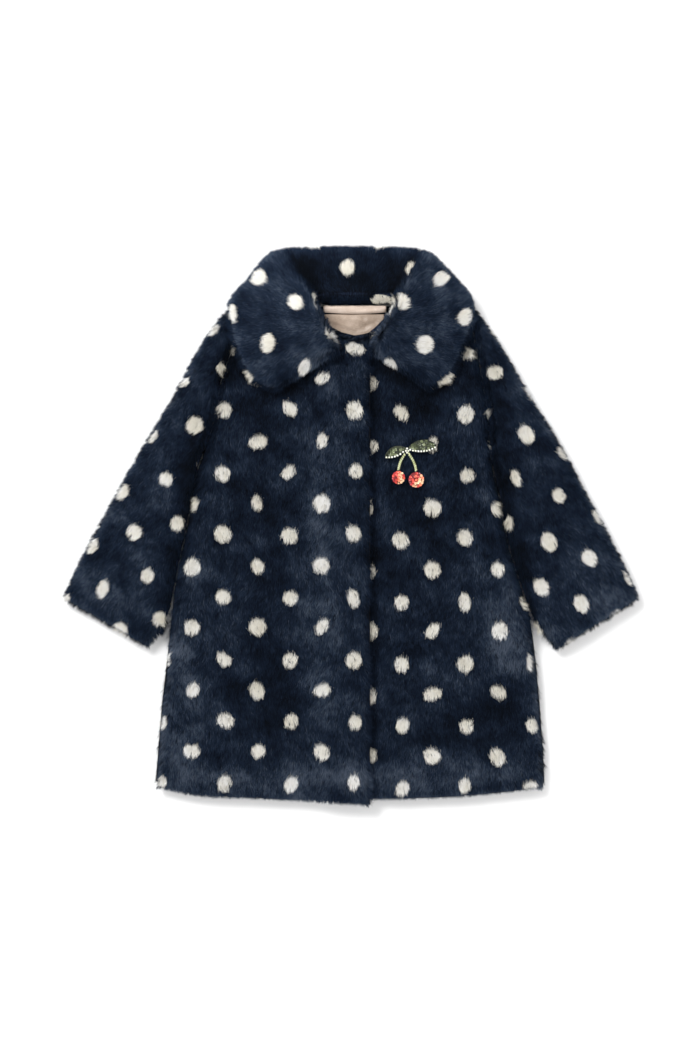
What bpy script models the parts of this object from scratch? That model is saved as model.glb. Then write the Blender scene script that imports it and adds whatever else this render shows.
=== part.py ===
"""A child's faux-fur coat with a turned-down collar, laid flat on its back, front up.

Sizes are in millimetres here and turned to metres when a mesh is made. +X is the viewer's
right as the coat lies, +Y runs from the hem to the collar, +Z points up from the surface.
The origin is on the surface, under the middle of the coat. Right and left in the names are
the wearer's, so the right sleeve lies on the -X side. Each wall reaches to the tips of the
fur, which is why it is about 11 mm thick.
"""
import math

import bpy
import numpy as np

MM = 0.001

# ---------------------------------------------------------------- driving sizes (mm)
SEAM = 0.3                 # clearance between pieces that are sewn to or lie on each other
SIDE_CLEARANCE = 0.6       # sleeve beside the body, where they only touch
BACK_WALL = 11.0           # back panel, cloth and fur
COAT_HEIGHT = 23.3         # back and front together
LAP_RISE = 5.5             # extra height where one front lies over the other
LAP_VALLEY = 18.5          # height of the under front where it is pressed by the upper one
UNDER_EDGE_X = -20.0       # front edge of the under front
OVER_EDGE_X = 20.0         # front edge of the upper front
HEM_Y = -275.0             # hem at the side seams
SHOULDER_Y = 237.0         # shoulder tips
UNDERARM_Y = 79.0          # where the armhole ends and the side seam starts
BACK_NECK_Y = 231.9        # middle of the back neckline
RIM = 2.0                  # height of the upright rim on a rounded edge
EDGE_STEPS = (0.0, 1.5, 5.0, 10.0)    # points across a rounded edge, from the edge inward
SIDE_ROUND = 12.0          # how far in from a side seam the panel is rounded
HEM_ROUND = 10.0           # the same from a hem or cuff
TOP_ROUND = 9.0            # the same from a neckline or front edge
GROOVE_ROUND = 6.0         # half width of the shallow groove along an armhole seam
GROOVE_DEPTH = 0.35        # its depth as a share of the panel's height

SLEEVE_ROUND = 13.0        # how far in from its outer fold a sleeve is rounded
SLEEVE_SLIT = 2.8          # height of the flat hollow inside a sleeve
SLIT_LIFT = 0.8            # middle of the hollow above the back panel
HOLLOW_INSET = 9.0         # fur and cloth beside the hollow
SLEEVE_PUFF = 2.5          # a sleeve's crown above the body
SLEEVE_LENGTH = 330.0      # shoulder seam to cuff
HOLLOW_RECESS = 5.0        # the hollow's end behind the armhole seam

# Outline of the body: y, edge on the -X side, edge on the +X side.
BODY_SIDES = (
    (-275.0, -205.8, 203.8),
    (-235.0, -202.7, 201.8),
    (-183.0, -198.5, 198.0),
    (-136.0, -193.2, 193.6),
    (-98.0, -190.0, 188.4),
    (-70.0, -185.9, 180.0),
    (-38.0, -179.6, 169.8),
    (-12.0, -174.3, 162.8),
    (20.0, -168.0, 157.4),
    (53.0, -162.8, 150.2),
    (79.0, -154.4, 145.8),
    (116.0, -141.8, 144.0),
    (158.0, -135.5, 137.0),
    (190.0, -122.8, 131.2),
    (237.0, -118.7, 121.0),
)
# Hem of the fronts: x, y.
HEM = (
    (-206.0, -274.6),
    (-169.0, -283.0),
    (-106.0, -286.5),
    (-5.0, -291.8),
    (19.0, -293.4),
)
UNDER_HEM = (
    (-20.0, -286.5),
    (40.0, -287.5),
    (104.0, -285.4),
    (156.0, -281.0),
    (204.0, -275.5),
)
# Shoulder and neckline of the fronts: x, y.
FRONT_TOP = (
    (-118.7, 237.0),
    (-85.0, 245.0),
    (-52.0, 250.0),
    (-37.0, 224.0),
    (-20.0, 208.4),
    (-6.0, 201.5),
    (8.0, 199.5),
    (20.0, 203.0),
    (38.0, 221.0),
    (58.0, 250.0),
    (88.0, 245.0),
    (121.0, 237.0),
)
BACK_TOP = (
    (-118.7, 237.0),
    (-85.0, 245.0),
    (-52.0, 250.0),
    (-44.0, 236.0),
    (-36.0, BACK_NECK_Y),
    (46.0, BACK_NECK_Y),
    (52.0, 236.0),
    (58.0, 250.0),
    (88.0, 245.0),
    (121.0, 237.0),
)
# Outer edge of each sleeve: y, x on the -X side, x on the +X side.
SLEEVE_OUTER = (
    (237.5, -121.0, 123.0),
    (221.0, -137.0, 138.6),
    (200.0, -153.6, 152.3),
    (158.0, -176.0, 176.8),
    (116.0, -199.8, 202.4),
    (74.0, -225.4, 227.4),
    (32.0, -248.8, 249.9),
    (-10.0, -271.8, 272.4),
    (-52.0, -293.4, 293.8),
    (-75.0, -303.5, 303.5),
)
SPLIT_Y = -96.0            # where the sleeves part from the body
CUFF_INNER = ((-211.0, -127.6), (213.2, -130.7))

# Largest soft folds of the laid coat: start, end, half width and height (troughs negative).
FOLDS = (
    # x0, y0, x1, y1, half_width, height
    (-112.0, 120.0, -108.0, -30.0, 32.0, -2.6),
    (-58.0, -120.0, -70.0, -200.0, 28.0, -4.2),
    (-165.0, -232.0, -40.0, -236.0, 11.0, -2.0),
    (62.0, 125.0, 92.0, 95.0, 24.0, -2.4),
    (78.0, 50.0, 84.0, -90.0, 24.0, -2.0),
    (125.0, -196.0, 178.0, -206.0, 24.0, -4.4),
    (72.0, -228.0, 186.0, -234.0, 10.0, -3.0),
    (-172.0, -120.0, -182.0, -240.0, 22.0, 1.6),
    (160.0, -50.0, 170.0, -150.0, 22.0, 2.4),
    (-66.0, 60.0, -62.0, -60.0, 20.0, 1.4),
    (118.0, 20.0, 124.0, -120.0, 20.0, 1.4),
    (-232.0, 20.0, -262.0, -50.0, 16.0, -2.0),
    (228.0, 40.0, 250.0, -30.0, 16.0, -2.4),
    (-196.0, 60.0, -214.0, -30.0, 14.0, 1.6),
    (196.0, 80.0, 214.0, 0.0, 14.0, 1.6),
)

# Collar: one strip of fur from the right front end round the neck to the left front end.
# Each row is a line across the strip: its inner end, its outer end, and the height of the
# strip at the inner edge, on the roll and before the outer edge. "under" is how much of the
# strip is folded back beneath itself, and "stand" is 1 where it stands up from the neck seam.
COLLAR = (
    # ix, iy, ox, oy, z_inner, z_roll, z_outer, under, stand
    (-8.4, 185.3, -77.7, 141.2, 34.0, 41.0, 37.0, 0.0, 0.0),
    (-13.7, 194.8, -99.8, 150.7, 34.0, 41.5, 37.0, 0.0, 0.0),
    (-18.9, 204.2, -112.4, 169.6, 34.0, 42.0, 37.0, 0.0, 0.0),
    (-23.1, 213.7, -120.8, 191.6, 33.0, 42.0, 37.0, 0.0, 0.0),
    (-27.3, 222.1, -125.0, 213.7, 31.0, 42.0, 36.5, 0.0, 0.0),
    (-30.5, 227.3, -128.6, 231.5, 28.0, 41.5, 35.0, 0.0, 0.0),
    (-31.6, 229.6, -122.5, 245.2, 25.0, 41.0, 32.5, 0.0, 0.0),
    (-32.0, 231.0, -108.6, 260.0, 22.0, 39.5, 30.0, 8.0, 0.0),
    (-31.8, 232.0, -94.5, 278.2, 20.0, 38.0, 28.5, 18.0, 0.0),
    (-31.0, 232.7, -81.9, 288.2, 18.0, 36.0, 28.0, 30.0, 0.0),
    (-29.5, 233.0, -70.4, 291.4, 16.0, 32.0, 27.0, 38.0, 1.0),
    (-26.2, 232.6, -60.0, 291.9, 13.5, 21.0, 25.0, 42.0, 1.0),
    (-16.8, 232.4, -40.0, 292.4, 13.0, 19.5, 25.0, 44.0, 1.0),
    (-4.0, 232.4, -12.0, 292.9, 13.0, 19.5, 25.0, 44.0, 1.0),
    (12.0, 232.4, 18.0, 292.9, 13.0, 19.5, 25.0, 44.0, 1.0),
    (26.0, 232.4, 44.0, 292.4, 13.0, 19.5, 25.0, 44.0, 1.0),
    (37.5, 232.8, 64.0, 291.4, 13.5, 21.0, 25.0, 42.0, 1.0),
    (40.8, 233.6, 72.5, 290.3, 16.0, 31.0, 27.0, 38.0, 1.0),
    (42.6, 233.5, 83.0, 287.6, 18.0, 35.5, 28.0, 30.0, 0.0),
    (43.4, 232.8, 95.5, 276.7, 20.0, 37.5, 28.5, 18.0, 0.0),
    (43.4, 231.8, 109.4, 261.4, 22.0, 39.0, 30.0, 8.0, 0.0),
    (43.0, 230.4, 122.6, 247.3, 25.0, 40.5, 32.5, 0.0, 0.0),
    (40.9, 227.3, 128.8, 231.5, 28.0, 41.0, 35.0, 0.0, 0.0),
    (37.2, 222.1, 126.6, 212.7, 31.0, 41.5, 36.5, 0.0, 0.0),
    (31.5, 212.6, 118.7, 193.7, 33.0, 41.5, 37.0, 0.0, 0.0),
    (25.6, 203.2, 111.4, 174.9, 34.0, 41.5, 37.0, 0.0, 0.0),
    (21.0, 193.7, 101.4, 156.0, 34.0, 41.0, 37.0, 0.0, 0.0),
    (17.9, 184.3, 80.9, 142.3, 34.0, 40.5, 37.0, 0.0, 0.0),
)
COLLAR_LIFT = 0.5          # wings above the fronts
ROLL_ROUND = 10.0          # width of the collar's rounded inner roll
COLLAR_ROUND = 12.0        # how far in from its outer edge the collar is rounded
FOLDED_RIM = 14.0          # height of the outer edge where the collar is folded under
FREE_RIM = 3.0             # thickness of the outer edge elsewhere
FRONT_END_SHARE = 0.62     # how much of the collar's thickness is left at its front ends
LEG_HEIGHT = 11.0          # fur folded under, between the roll and the surface
FOLD_SLIT = 0.5            # between the two layers of the roll

# Cherry ornament on the left front: places in the plane of the coat.
CHERRIES = (
    # name, x, y, radius
    ("cherry_right", 49.8, 50.2, 6.8),
    ("cherry_left", 68.4, 47.8, 8.2),
)
STEM_TOP = (58.6, 76.6)
LEAVES = (
    # name, root x, root y, tip x, tip y, width
    ("leaf_right", 57.0, 80.4, 36.4, 71.6, 11.4),
    ("leaf_left", 61.0, 80.4, 89.6, 83.0, 13.4),
)
ORNAMENT_LIFT = 0.3        # clearance between the ornament and the fur tips
ORNAMENT_HEIGHT = 2.6      # height of the leaves
STEM_HEIGHT = 2.0
STEM_HALF_WIDTH = 1.15

# ---------------------------------------------------------------- finishes (linear colours)
NAVY_FUR = (0.021, 0.033, 0.060)
SATIN = (0.62, 0.47, 0.36)
LEAF_GREEN = (0.16, 0.20, 0.07)
STEM_GREEN = (0.55, 0.62, 0.42)
CHERRY_RED = (0.62, 0.06, 0.04)


# ---------------------------------------------------------------- helpers
def smooth(value):
    """0 below 0, 1 above 1 and a soft step between."""
    t = np.clip(value, 0.0, 1.0)
    return t * t * (3.0 - 2.0 * t)


def rounded(distance, radius):
    """Height share of a quarter-round edge: 0 at the edge, 1 from one radius inward."""
    t = np.clip(np.asarray(distance, dtype=float) / radius, 0.0, 1.0)
    return np.sqrt(1.0 - (1.0 - t) ** 2)


def curve(rows, at, column=1):
    """A smooth curve through the table's rows, read at the given first-column values."""
    table = np.array(sorted(row[:column + 1] for row in rows), dtype=float)
    key, value = table[:, 0], table[:, column]
    slope = np.gradient(value, key)
    at = np.clip(np.asarray(at, dtype=float), key[0], key[-1])
    i = np.clip(np.searchsorted(key, at, side="right") - 1, 0, len(key) - 2)
    step = key[i + 1] - key[i]
    t = (at - key[i]) / step
    return ((2 * t**3 - 3 * t**2 + 1) * value[i] + (t**3 - 2 * t**2 + t) * step * slope[i]
            + (3 * t**2 - 2 * t**3) * value[i + 1] + (t**3 - t**2) * step * slope[i + 1])


def line(rows, at):
    """Straight lines through the table's rows."""
    table = np.array(rows, dtype=float)
    return np.interp(at, table[:, 0], table[:, 1])


def along(points, count):
    """count points, evenly spaced along a polyline."""
    points = np.array(points, dtype=float)
    length = np.concatenate([[0.0], np.cumsum(np.linalg.norm(np.diff(points, axis=0), axis=1))])
    at = np.linspace(0.0, length[-1], count) if np.isscalar(count) else np.array(count) * length[-1]
    return np.stack([np.interp(at, length, points[:, 0]), np.interp(at, length, points[:, 1])], 1)


def spaced(length, step, start_edge, end_edge):
    """Distances from 0 to length: the edge steps at each rounded end, even steps between."""
    head = list(start_edge)
    tail = [length - e for e in reversed(end_edge)]
    count = max(1, round((tail[0] - head[-1]) / step))
    middle = np.linspace(head[-1], tail[0], count + 1)[1:-1]
    return np.concatenate([head, middle, tail])


def fold_height(x, y):
    """Sum of the soft folds at a place."""
    total = np.zeros(np.broadcast(x, y).shape)
    for x0, y0, x1, y1, half_width, height in FOLDS:
        ax, ay = x1 - x0, y1 - y0
        t = np.clip(((x - x0) * ax + (y - y0) * ay) / (ax * ax + ay * ay), 0.0, 1.0)
        away = np.hypot(x - x0 - t * ax, y - y0 - t * ay) / half_width
        total = total + height * np.exp(-away * away)
    return total


def side_x(y, side):
    """The body's outline on one side (-1 or 1)."""
    return curve(BODY_SIDES, y, 1 if side < 0 else 2)


def sleeve_puff(x, y):
    """A sleeve's crown, which grows away from the armhole."""
    outward = np.maximum(side_x(y, -1) - x, x - side_x(y, 1))
    return SLEEVE_PUFF * smooth(outward / 60.0)


def coat_top(x, y):
    """Fur tips of the laid coat, before edges are rounded and without the lap."""
    return COAT_HEIGHT + fold_height(x, y) + sleeve_puff(x, y)


def lap_rise(x):
    """Extra height of the upper front towards its front edge."""
    return LAP_RISE * smooth((x + 42.0) / 26.0)


def front_left_top(x, y):
    """Fur tips of the left front, which is pressed down where the right front lies on it."""
    valley = smooth((x - OVER_EDGE_X - 1.0) / 28.0)
    return LAP_VALLEY + (coat_top(x, y) - LAP_VALLEY) * valley


def neck_hollow(x, y):
    """Depth by which the back sinks inside the neckline, where nothing lies on it."""
    ring = np.sqrt(((x - 4.0) / 66.0) ** 2 + ((y - 214.0) / 46.0) ** 2)
    return 5.0 * (1.0 - smooth((ring - 0.7) / 0.3))


def solid(name, vertices, faces, color, roughness):
    """A named object of one closed mesh, smooth but for its sharp rims."""
    mesh = bpy.data.meshes.new(name)
    mesh.from_pydata([tuple(c * MM for c in v) for v in vertices], [], faces)
    mesh.validate()
    mesh.shade_smooth()
    mesh.set_sharp_from_angle(angle=math.radians(50.0))
    material = bpy.data.materials.new(name + "_finish")
    material.use_nodes = True
    shader = material.node_tree.nodes["Principled BSDF"]
    shader.inputs["Base Color"].default_value = (*color, 1.0)
    shader.inputs["Roughness"].default_value = roughness
    shader.inputs["Metallic"].default_value = 0.0
    mesh.materials.append(material)
    thing = bpy.data.objects.new(name, mesh)
    bpy.context.collection.objects.link(thing)
    return thing


def plate(name, x, y, low, high, color, roughness):
    """A wall between two height fields over one grid (rows along y, columns along x)."""
    rows, columns = x.shape
    vertices = list(zip(x.ravel(), y.ravel(), high.ravel()))
    vertices += list(zip(x.ravel(), y.ravel(), low.ravel()))
    under = rows * columns
    faces = []
    for i in range(rows - 1):
        for j in range(columns - 1):
            a = i * columns + j
            quad = (a, a + 1, a + columns + 1, a + columns)
            faces.append(quad)
            faces.append(tuple(v + under for v in reversed(quad)))
    border = list(range(columns))
    border += [i * columns + columns - 1 for i in range(1, rows)]
    border += [(rows - 1) * columns + j for j in range(columns - 2, -1, -1)]
    border += [i * columns for i in range(rows - 2, 0, -1)]
    for a, b in zip(border, border[1:] + border[:1]):
        faces.append((b, a, a + under, b + under))
    return solid(name, vertices, faces, color, roughness)


# ---------------------------------------------------------------- body panels
def armhole_rows():
    """Heights of the body's rows from the underarm up to the shoulder tip."""
    top_zone = SHOULDER_Y - np.array([20.0, 10.0, 5.0, 1.5, 0.0])
    return np.concatenate([np.linspace(UNDERARM_Y, top_zone[0], 7)[:-1], top_zone])


def body_rows():
    """Nominal heights of the body's rows, closer at the hem, its crease and the shoulder."""
    hem_zone = HEM_Y + np.array([0.0, 1.5, 5.0, 11.0, 24.0, 35.0, 44.0, 54.0])
    middle = np.linspace(hem_zone[-1], UNDERARM_Y, 13)[1:-1]
    return np.concatenate([hem_zone, middle, armhole_rows()])


def panel_grid(left, right, left_edge, right_edge, top_columns, hem, top, hem_inset=0.0):
    """Plan of a body panel and each point's distance from its edges.

    top_columns are the places of the inner columns at the top edge, at the neckline's turns.
    """
    rows = body_rows()
    top_columns = np.array(top_columns)
    x, y, from_left, from_right = [], [], [], []
    for nominal in rows:
        start, end = float(left(nominal)), float(right(nominal))
        head = start + np.array(left_edge)
        tail = end - np.array(right_edge)[::-1]
        near_hem = smooth(1.0 - (nominal - HEM_Y) / 150.0)
        near_top = smooth(1.0 - (SHOULDER_Y - nominal) / 110.0)
        middle = np.linspace(head[-1], tail[0], len(top_columns) + 2)[1:-1]
        middle = middle + (top_columns - middle) * near_top
        row = np.concatenate([head, middle, tail])
        x.append(row)
        y.append(nominal + (hem(row) + hem_inset - HEM_Y) * near_hem
                 + (top(row) - SHOULDER_Y) * near_top)
        from_left.append(row - start)
        from_right.append(end - row)
    x, y = np.array(x), np.array(y)
    from_hem = y - y[0][None, :]
    from_top = y[-1][None, :] - y
    return x, y, np.array(from_left), np.array(from_right), from_hem, from_top


def side_round(distance, y):
    """Edge share at a side: full round at the side seam, a shallow groove at the armhole."""
    armhole = smooth((y - UNDERARM_Y + 8.0) / 16.0)
    full = rounded(distance, SIDE_ROUND)
    groove = 1.0 - GROOVE_DEPTH * (1.0 - rounded(distance, GROOVE_ROUND))
    return full * (1.0 - armhole) + groove * armhole


def build_back():
    """The back panel, which the coat lies on, with the hollow inside its neckline."""
    x, y, left, right, hem, _ = panel_grid(
        lambda v: side_x(v, -1), lambda v: side_x(v, 1), EDGE_STEPS, EDGE_STEPS,
        (-85.0, -62.0, -52.0, -44.0, -36.0, -10.0, 20.0, 46.0, 52.0, 58.0, 68.0, 88.0),
        lambda v: np.where(v < 0.0, curve(HEM, v), curve(UNDER_HEM, v)),
        lambda v: line(BACK_TOP, v), hem_inset=4.0)
    armhole = smooth((y - UNDERARM_Y + 8.0) / 16.0)
    side = np.minimum(rounded(left, SIDE_ROUND), rounded(right, SIDE_ROUND))
    lift = 1.0 - (side + (1.0 - side) * armhole) * rounded(hem, HEM_ROUND)
    low = (BACK_WALL - RIM) * lift
    high = BACK_WALL - neck_hollow(x, y)
    return plate("back", x, y, low, np.maximum(high, low + 1.5), NAVY_FUR, 0.9)


def build_front_right():
    """The wearer's right front, which laps over the left one."""
    x, y, left, right, hem, top = panel_grid(
        lambda v: side_x(v, -1), lambda v: np.full(np.shape(v), OVER_EDGE_X), EDGE_STEPS,
        EDGE_STEPS, (-97.0, -83.0, -68.0, -58.0, -52.0, -46.0, -40.0, -33.0, -25.0, -14.0, -2.0),
        lambda v: curve(HEM, v), lambda v: line(FRONT_TOP, v))
    floor = BACK_WALL + SEAM
    low = floor + (LAP_VALLEY + SEAM - floor) * smooth((x + 38.0) / 15.0)
    full = coat_top(x, y) + lap_rise(x)
    share = (side_round(left, y) * rounded(right, TOP_ROUND) * rounded(hem, HEM_ROUND)
             * rounded(top, TOP_ROUND))
    high = low + RIM + (full - low - RIM) * share
    return plate("front_right", x, y, low, high, NAVY_FUR, 0.9)


def build_front_left():
    """The wearer's left front, which lies under the right one along the front edge."""
    x, y, left, right, hem, top = panel_grid(
        lambda v: np.full(np.shape(v), UNDER_EDGE_X), lambda v: side_x(v, 1),
        EDGE_STEPS, EDGE_STEPS, (4.0, 18.0, 28.0, 38.0, 46.0, 52.0, 58.0, 64.0, 76.0, 88.0, 100.0),
        lambda v: curve(UNDER_HEM, v), lambda v: line(FRONT_TOP, v))
    low = np.full(x.shape, BACK_WALL + SEAM)
    full = front_left_top(x, y)
    share = (side_round(right, y) * rounded(left, TOP_ROUND) * rounded(hem, HEM_ROUND)
             * rounded(top, TOP_ROUND))
    high = low + RIM + (full - low - RIM) * share
    return plate("front_left", x, y, low, high, NAVY_FUR, 0.9)


# ---------------------------------------------------------------- sleeves
def sleeve_plan(side):
    """Plan functions of a sleeve: a point at share u across and share t along."""
    column = 1 if side < 0 else 2
    arm_y = armhole_rows()[::-1]
    armhole = np.stack([side_x(arm_y, side) + side * (SEAM + 0.1), arm_y], 1)
    outer_y = np.linspace(SLEEVE_OUTER[0][0], SLEEVE_OUTER[-1][0], 60)
    outer = np.stack([curve(SLEEVE_OUTER, outer_y, column), outer_y], 1)
    outer = np.concatenate([armhole[:1], outer])
    inner_y = np.linspace(UNDERARM_Y, SPLIT_Y, 40)
    inner = np.stack([side_x(inner_y, side) + side * SIDE_CLEARANCE, inner_y], 1)
    inner = np.concatenate([armhole[-1:], inner[1:], [CUFF_INNER[0 if side < 0 else 1]]])

    def place(u, t):
        o, i, a = along(outer, t), along(inner, t), along(armhole, u)
        chord = (1.0 - u)[:, None] * armhole[0] + u[:, None] * armhole[-1]
        bend = ((1.0 - t) ** 3)[:, None]
        return (1.0 - u)[:, None] * o + u[:, None] * i + bend * (a - chord)

    length = np.concatenate([[0.0], np.cumsum(np.hypot(*np.diff(armhole, axis=0).T))])
    return place, length / length[-1], length[-1]


def build_sleeve(name, side):
    """A flat-laid tube: an outer ring and a thin hollow at each station."""
    place, arm_u, arm_length = sleeve_plan(side)
    stations = spaced(SLEEVE_LENGTH, 30.0, (0.0, 2.0, 6.0), EDGE_STEPS) / SLEEVE_LENGTH
    across_edge = np.array((0.0, 1.5, 5.0, 12.0))
    arm_u = np.concatenate([arm_u[:-1], 1.0 - across_edge[::-1] / arm_length])
    vertices, faces = [], []
    for t in stations:
        ends = place(np.array([0.0, 1.0]), np.array([t, t]))
        width = float(np.linalg.norm(ends[1] - ends[0]))
        edge = across_edge / width
        inner_u = np.linspace(edge[-1], 1.0 - edge[-1], len(arm_u) - 6)[1:-1]
        even_u = np.concatenate([edge, inner_u, 1.0 - edge[::-1]])
        u = arm_u + (even_u - arm_u) * smooth(t * 5.0)
        p = place(u, np.full(len(u), t))
        from_outer, from_inner, from_arm = u * width, (1.0 - u) * width, t * SLEEVE_LENGTH
        groove = 1.0 - GROOVE_DEPTH * (1.0 - float(rounded(from_arm, GROOVE_ROUND)))
        cuff = float(rounded(SLEEVE_LENGTH - from_arm, HEM_ROUND))
        valley = 4.0 * (1.0 - smooth(from_inner / 30.0)) * smooth(t * 5.0)
        full = coat_top(p[:, 0], p[:, 1]) - valley
        outer_share, inner_share = rounded(from_outer, SLEEVE_ROUND), rounded(from_inner, SIDE_ROUND)
        at_arm = 1.0 - smooth(from_arm / 25.0)
        joined = inner_share * (1.0 - at_arm) + np.maximum(inner_share, 0.75) * at_arm
        high_rim, low_rim = BACK_WALL + SEAM + RIM, BACK_WALL - RIM
        top = high_rim + (full - high_rim) * outer_share * joined * groove * cuff
        bottom = low_rim * (1.0 - outer_share * inner_share * (0.8 + 0.2 * groove) * cuff)
        hollow_u = (HOLLOW_INSET + (width - 2 * HOLLOW_INSET) * np.linspace(0.0, 1.0, len(u))) / width
        h = place(hollow_u, np.full(len(u), max(t, HOLLOW_RECESS / SLEEVE_LENGTH)))
        lens = np.sin(math.pi * np.linspace(0.0, 1.0, len(u))) ** 0.5
        middle = BACK_WALL + SLIT_LIFT
        opening = 0.5 + (SLEEVE_SLIT - 0.5) * lens
        outer_ring = [(p[j, 0], p[j, 1], top[j]) for j in range(len(u))]
        outer_ring += [(p[j, 0], p[j, 1], bottom[j]) for j in range(len(u) - 1, -1, -1)]
        inner_ring = [(h[j, 0], h[j, 1], middle + 0.5 * opening[j]) for j in range(len(u))]
        inner_ring += [(h[j, 0], h[j, 1], middle - 0.5 * opening[j])
                       for j in range(len(u) - 1, -1, -1)]
        ring_size = len(outer_ring)
        vertices += outer_ring + inner_ring
    block = 2 * ring_size
    last = (len(stations) - 1) * block
    for k in range(len(stations) - 1):
        for j in range(ring_size):
            a, b = k * block + j, k * block + (j + 1) % ring_size
            faces.append((a, b, b + block, a + block))
            c, d = a + ring_size, b + ring_size
            faces.append((d, c, c + block, d + block))
    for j in range(ring_size):
        n = (j + 1) % ring_size
        faces.append((n, j, j + ring_size, n + ring_size))
        faces.append((last + j, last + n, last + n + ring_size, last + j + ring_size))
    if side < 0:
        faces = [tuple(reversed(f)) for f in faces]
    return solid(name, vertices, faces, NAVY_FUR, 0.9)


# ---------------------------------------------------------------- collar
def collar_base(x, y):
    """Lowest place for the collar: over the fronts, and down past their top edges."""
    lap = LAP_RISE * smooth((x + 66.0) / 22.0) * (1.0 - smooth((x - 24.0) / 20.0))
    over = coat_top(x, y) + lap + COLLAR_LIFT
    past = smooth((y - line(FRONT_TOP, x) - 1.0) / 12.0)
    rest = LEG_HEIGHT + FOLD_SLIT
    return rest + (over - rest) * (1.0 - past)


def collar_rows():
    """The collar's stations, with one more between each two that lie far apart."""
    rows = [COLLAR[0]]
    for a, b in zip(COLLAR, COLLAR[1:]):
        if math.hypot(b[2] - a[2], b[3] - a[3]) > 30.0:
            rows.append(tuple(0.5 * (p + q) for p, q in zip(a, b)))
        rows.append(b)
    return rows


def build_collar():
    """The strip's upper side and underside at every station, and its part folded under."""
    inner_edge, outer_edge = (0.0, 2.0, 6.0, 12.0), (0.0, 1.5, 5.0, 12.0)
    middle_count = 4
    top_grid, low_grid, leg_low, leg_high = [], [], {}, {}
    rows = collar_rows()
    ends = len(rows) - 1
    for k, (ix, iy, ox, oy, z_inner, z_roll, z_outer, under, stand) in enumerate(rows):
        width = math.hypot(ox - ix, oy - iy)
        d = np.concatenate([inner_edge,
                            np.linspace(inner_edge[-1], width - outer_edge[-1],
                                        middle_count + 2)[1:-1],
                            width - np.array(outer_edge)[::-1]])
        x, y = ix + (ox - ix) * d / width, iy + (oy - iy) * d / width
        base = collar_base(x, y)
        seam = 1.0 + (LEG_HEIGHT + FOLD_SLIT - 1.0) * smooth((d - 5.0) / 9.0)
        low = base * (1.0 - stand) + seam * stand
        roll = z_inner + (z_roll - z_inner) * rounded(d, ROLL_ROUND)
        fall = np.clip((d - ROLL_ROUND) / (width - ROLL_ROUND - COLLAR_ROUND), 0.0, 1.0)
        high = np.where(d < ROLL_ROUND, roll, z_roll + (z_outer - z_roll) * fall)
        folded = under > 0.0
        rim = FOLDED_RIM if folded else float(low[-1]) + FREE_RIM
        high = rim + (high - rim) * rounded(width - d, COLLAR_ROUND)
        high = low + (high - low) * (FRONT_END_SHARE if k in (0, ends) else 1.0)
        high = np.maximum(high, low + RIM)
        top_grid.append(list(zip(x, y, high)))
        low_grid.append(list(zip(x, y, low)))
        if folded:
            e = np.concatenate([outer_edge, [under - 4.0, under - 1.0, under]]) if under > 20.0 \
                else np.concatenate([np.array(outer_edge) * min(1.0, under / 18.0),
                                     [under * 0.8, under * 0.92, under]])
            at = width - e
            lx, ly = ix + (ox - ix) * at / width, iy + (oy - iy) * at / width
            lift = 10.0 * (1.0 - rounded(e, COLLAR_ROUND))
            tail = 3.0 * (1.0 - rounded(under - e, 4.0))
            leg_low[k] = list(zip(lx, ly, lift + tail))
            leg_high[k] = list(zip(lx, ly, np.full(len(e), LEG_HEIGHT)))
    return collar_mesh(top_grid, low_grid, leg_low, leg_high)


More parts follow.
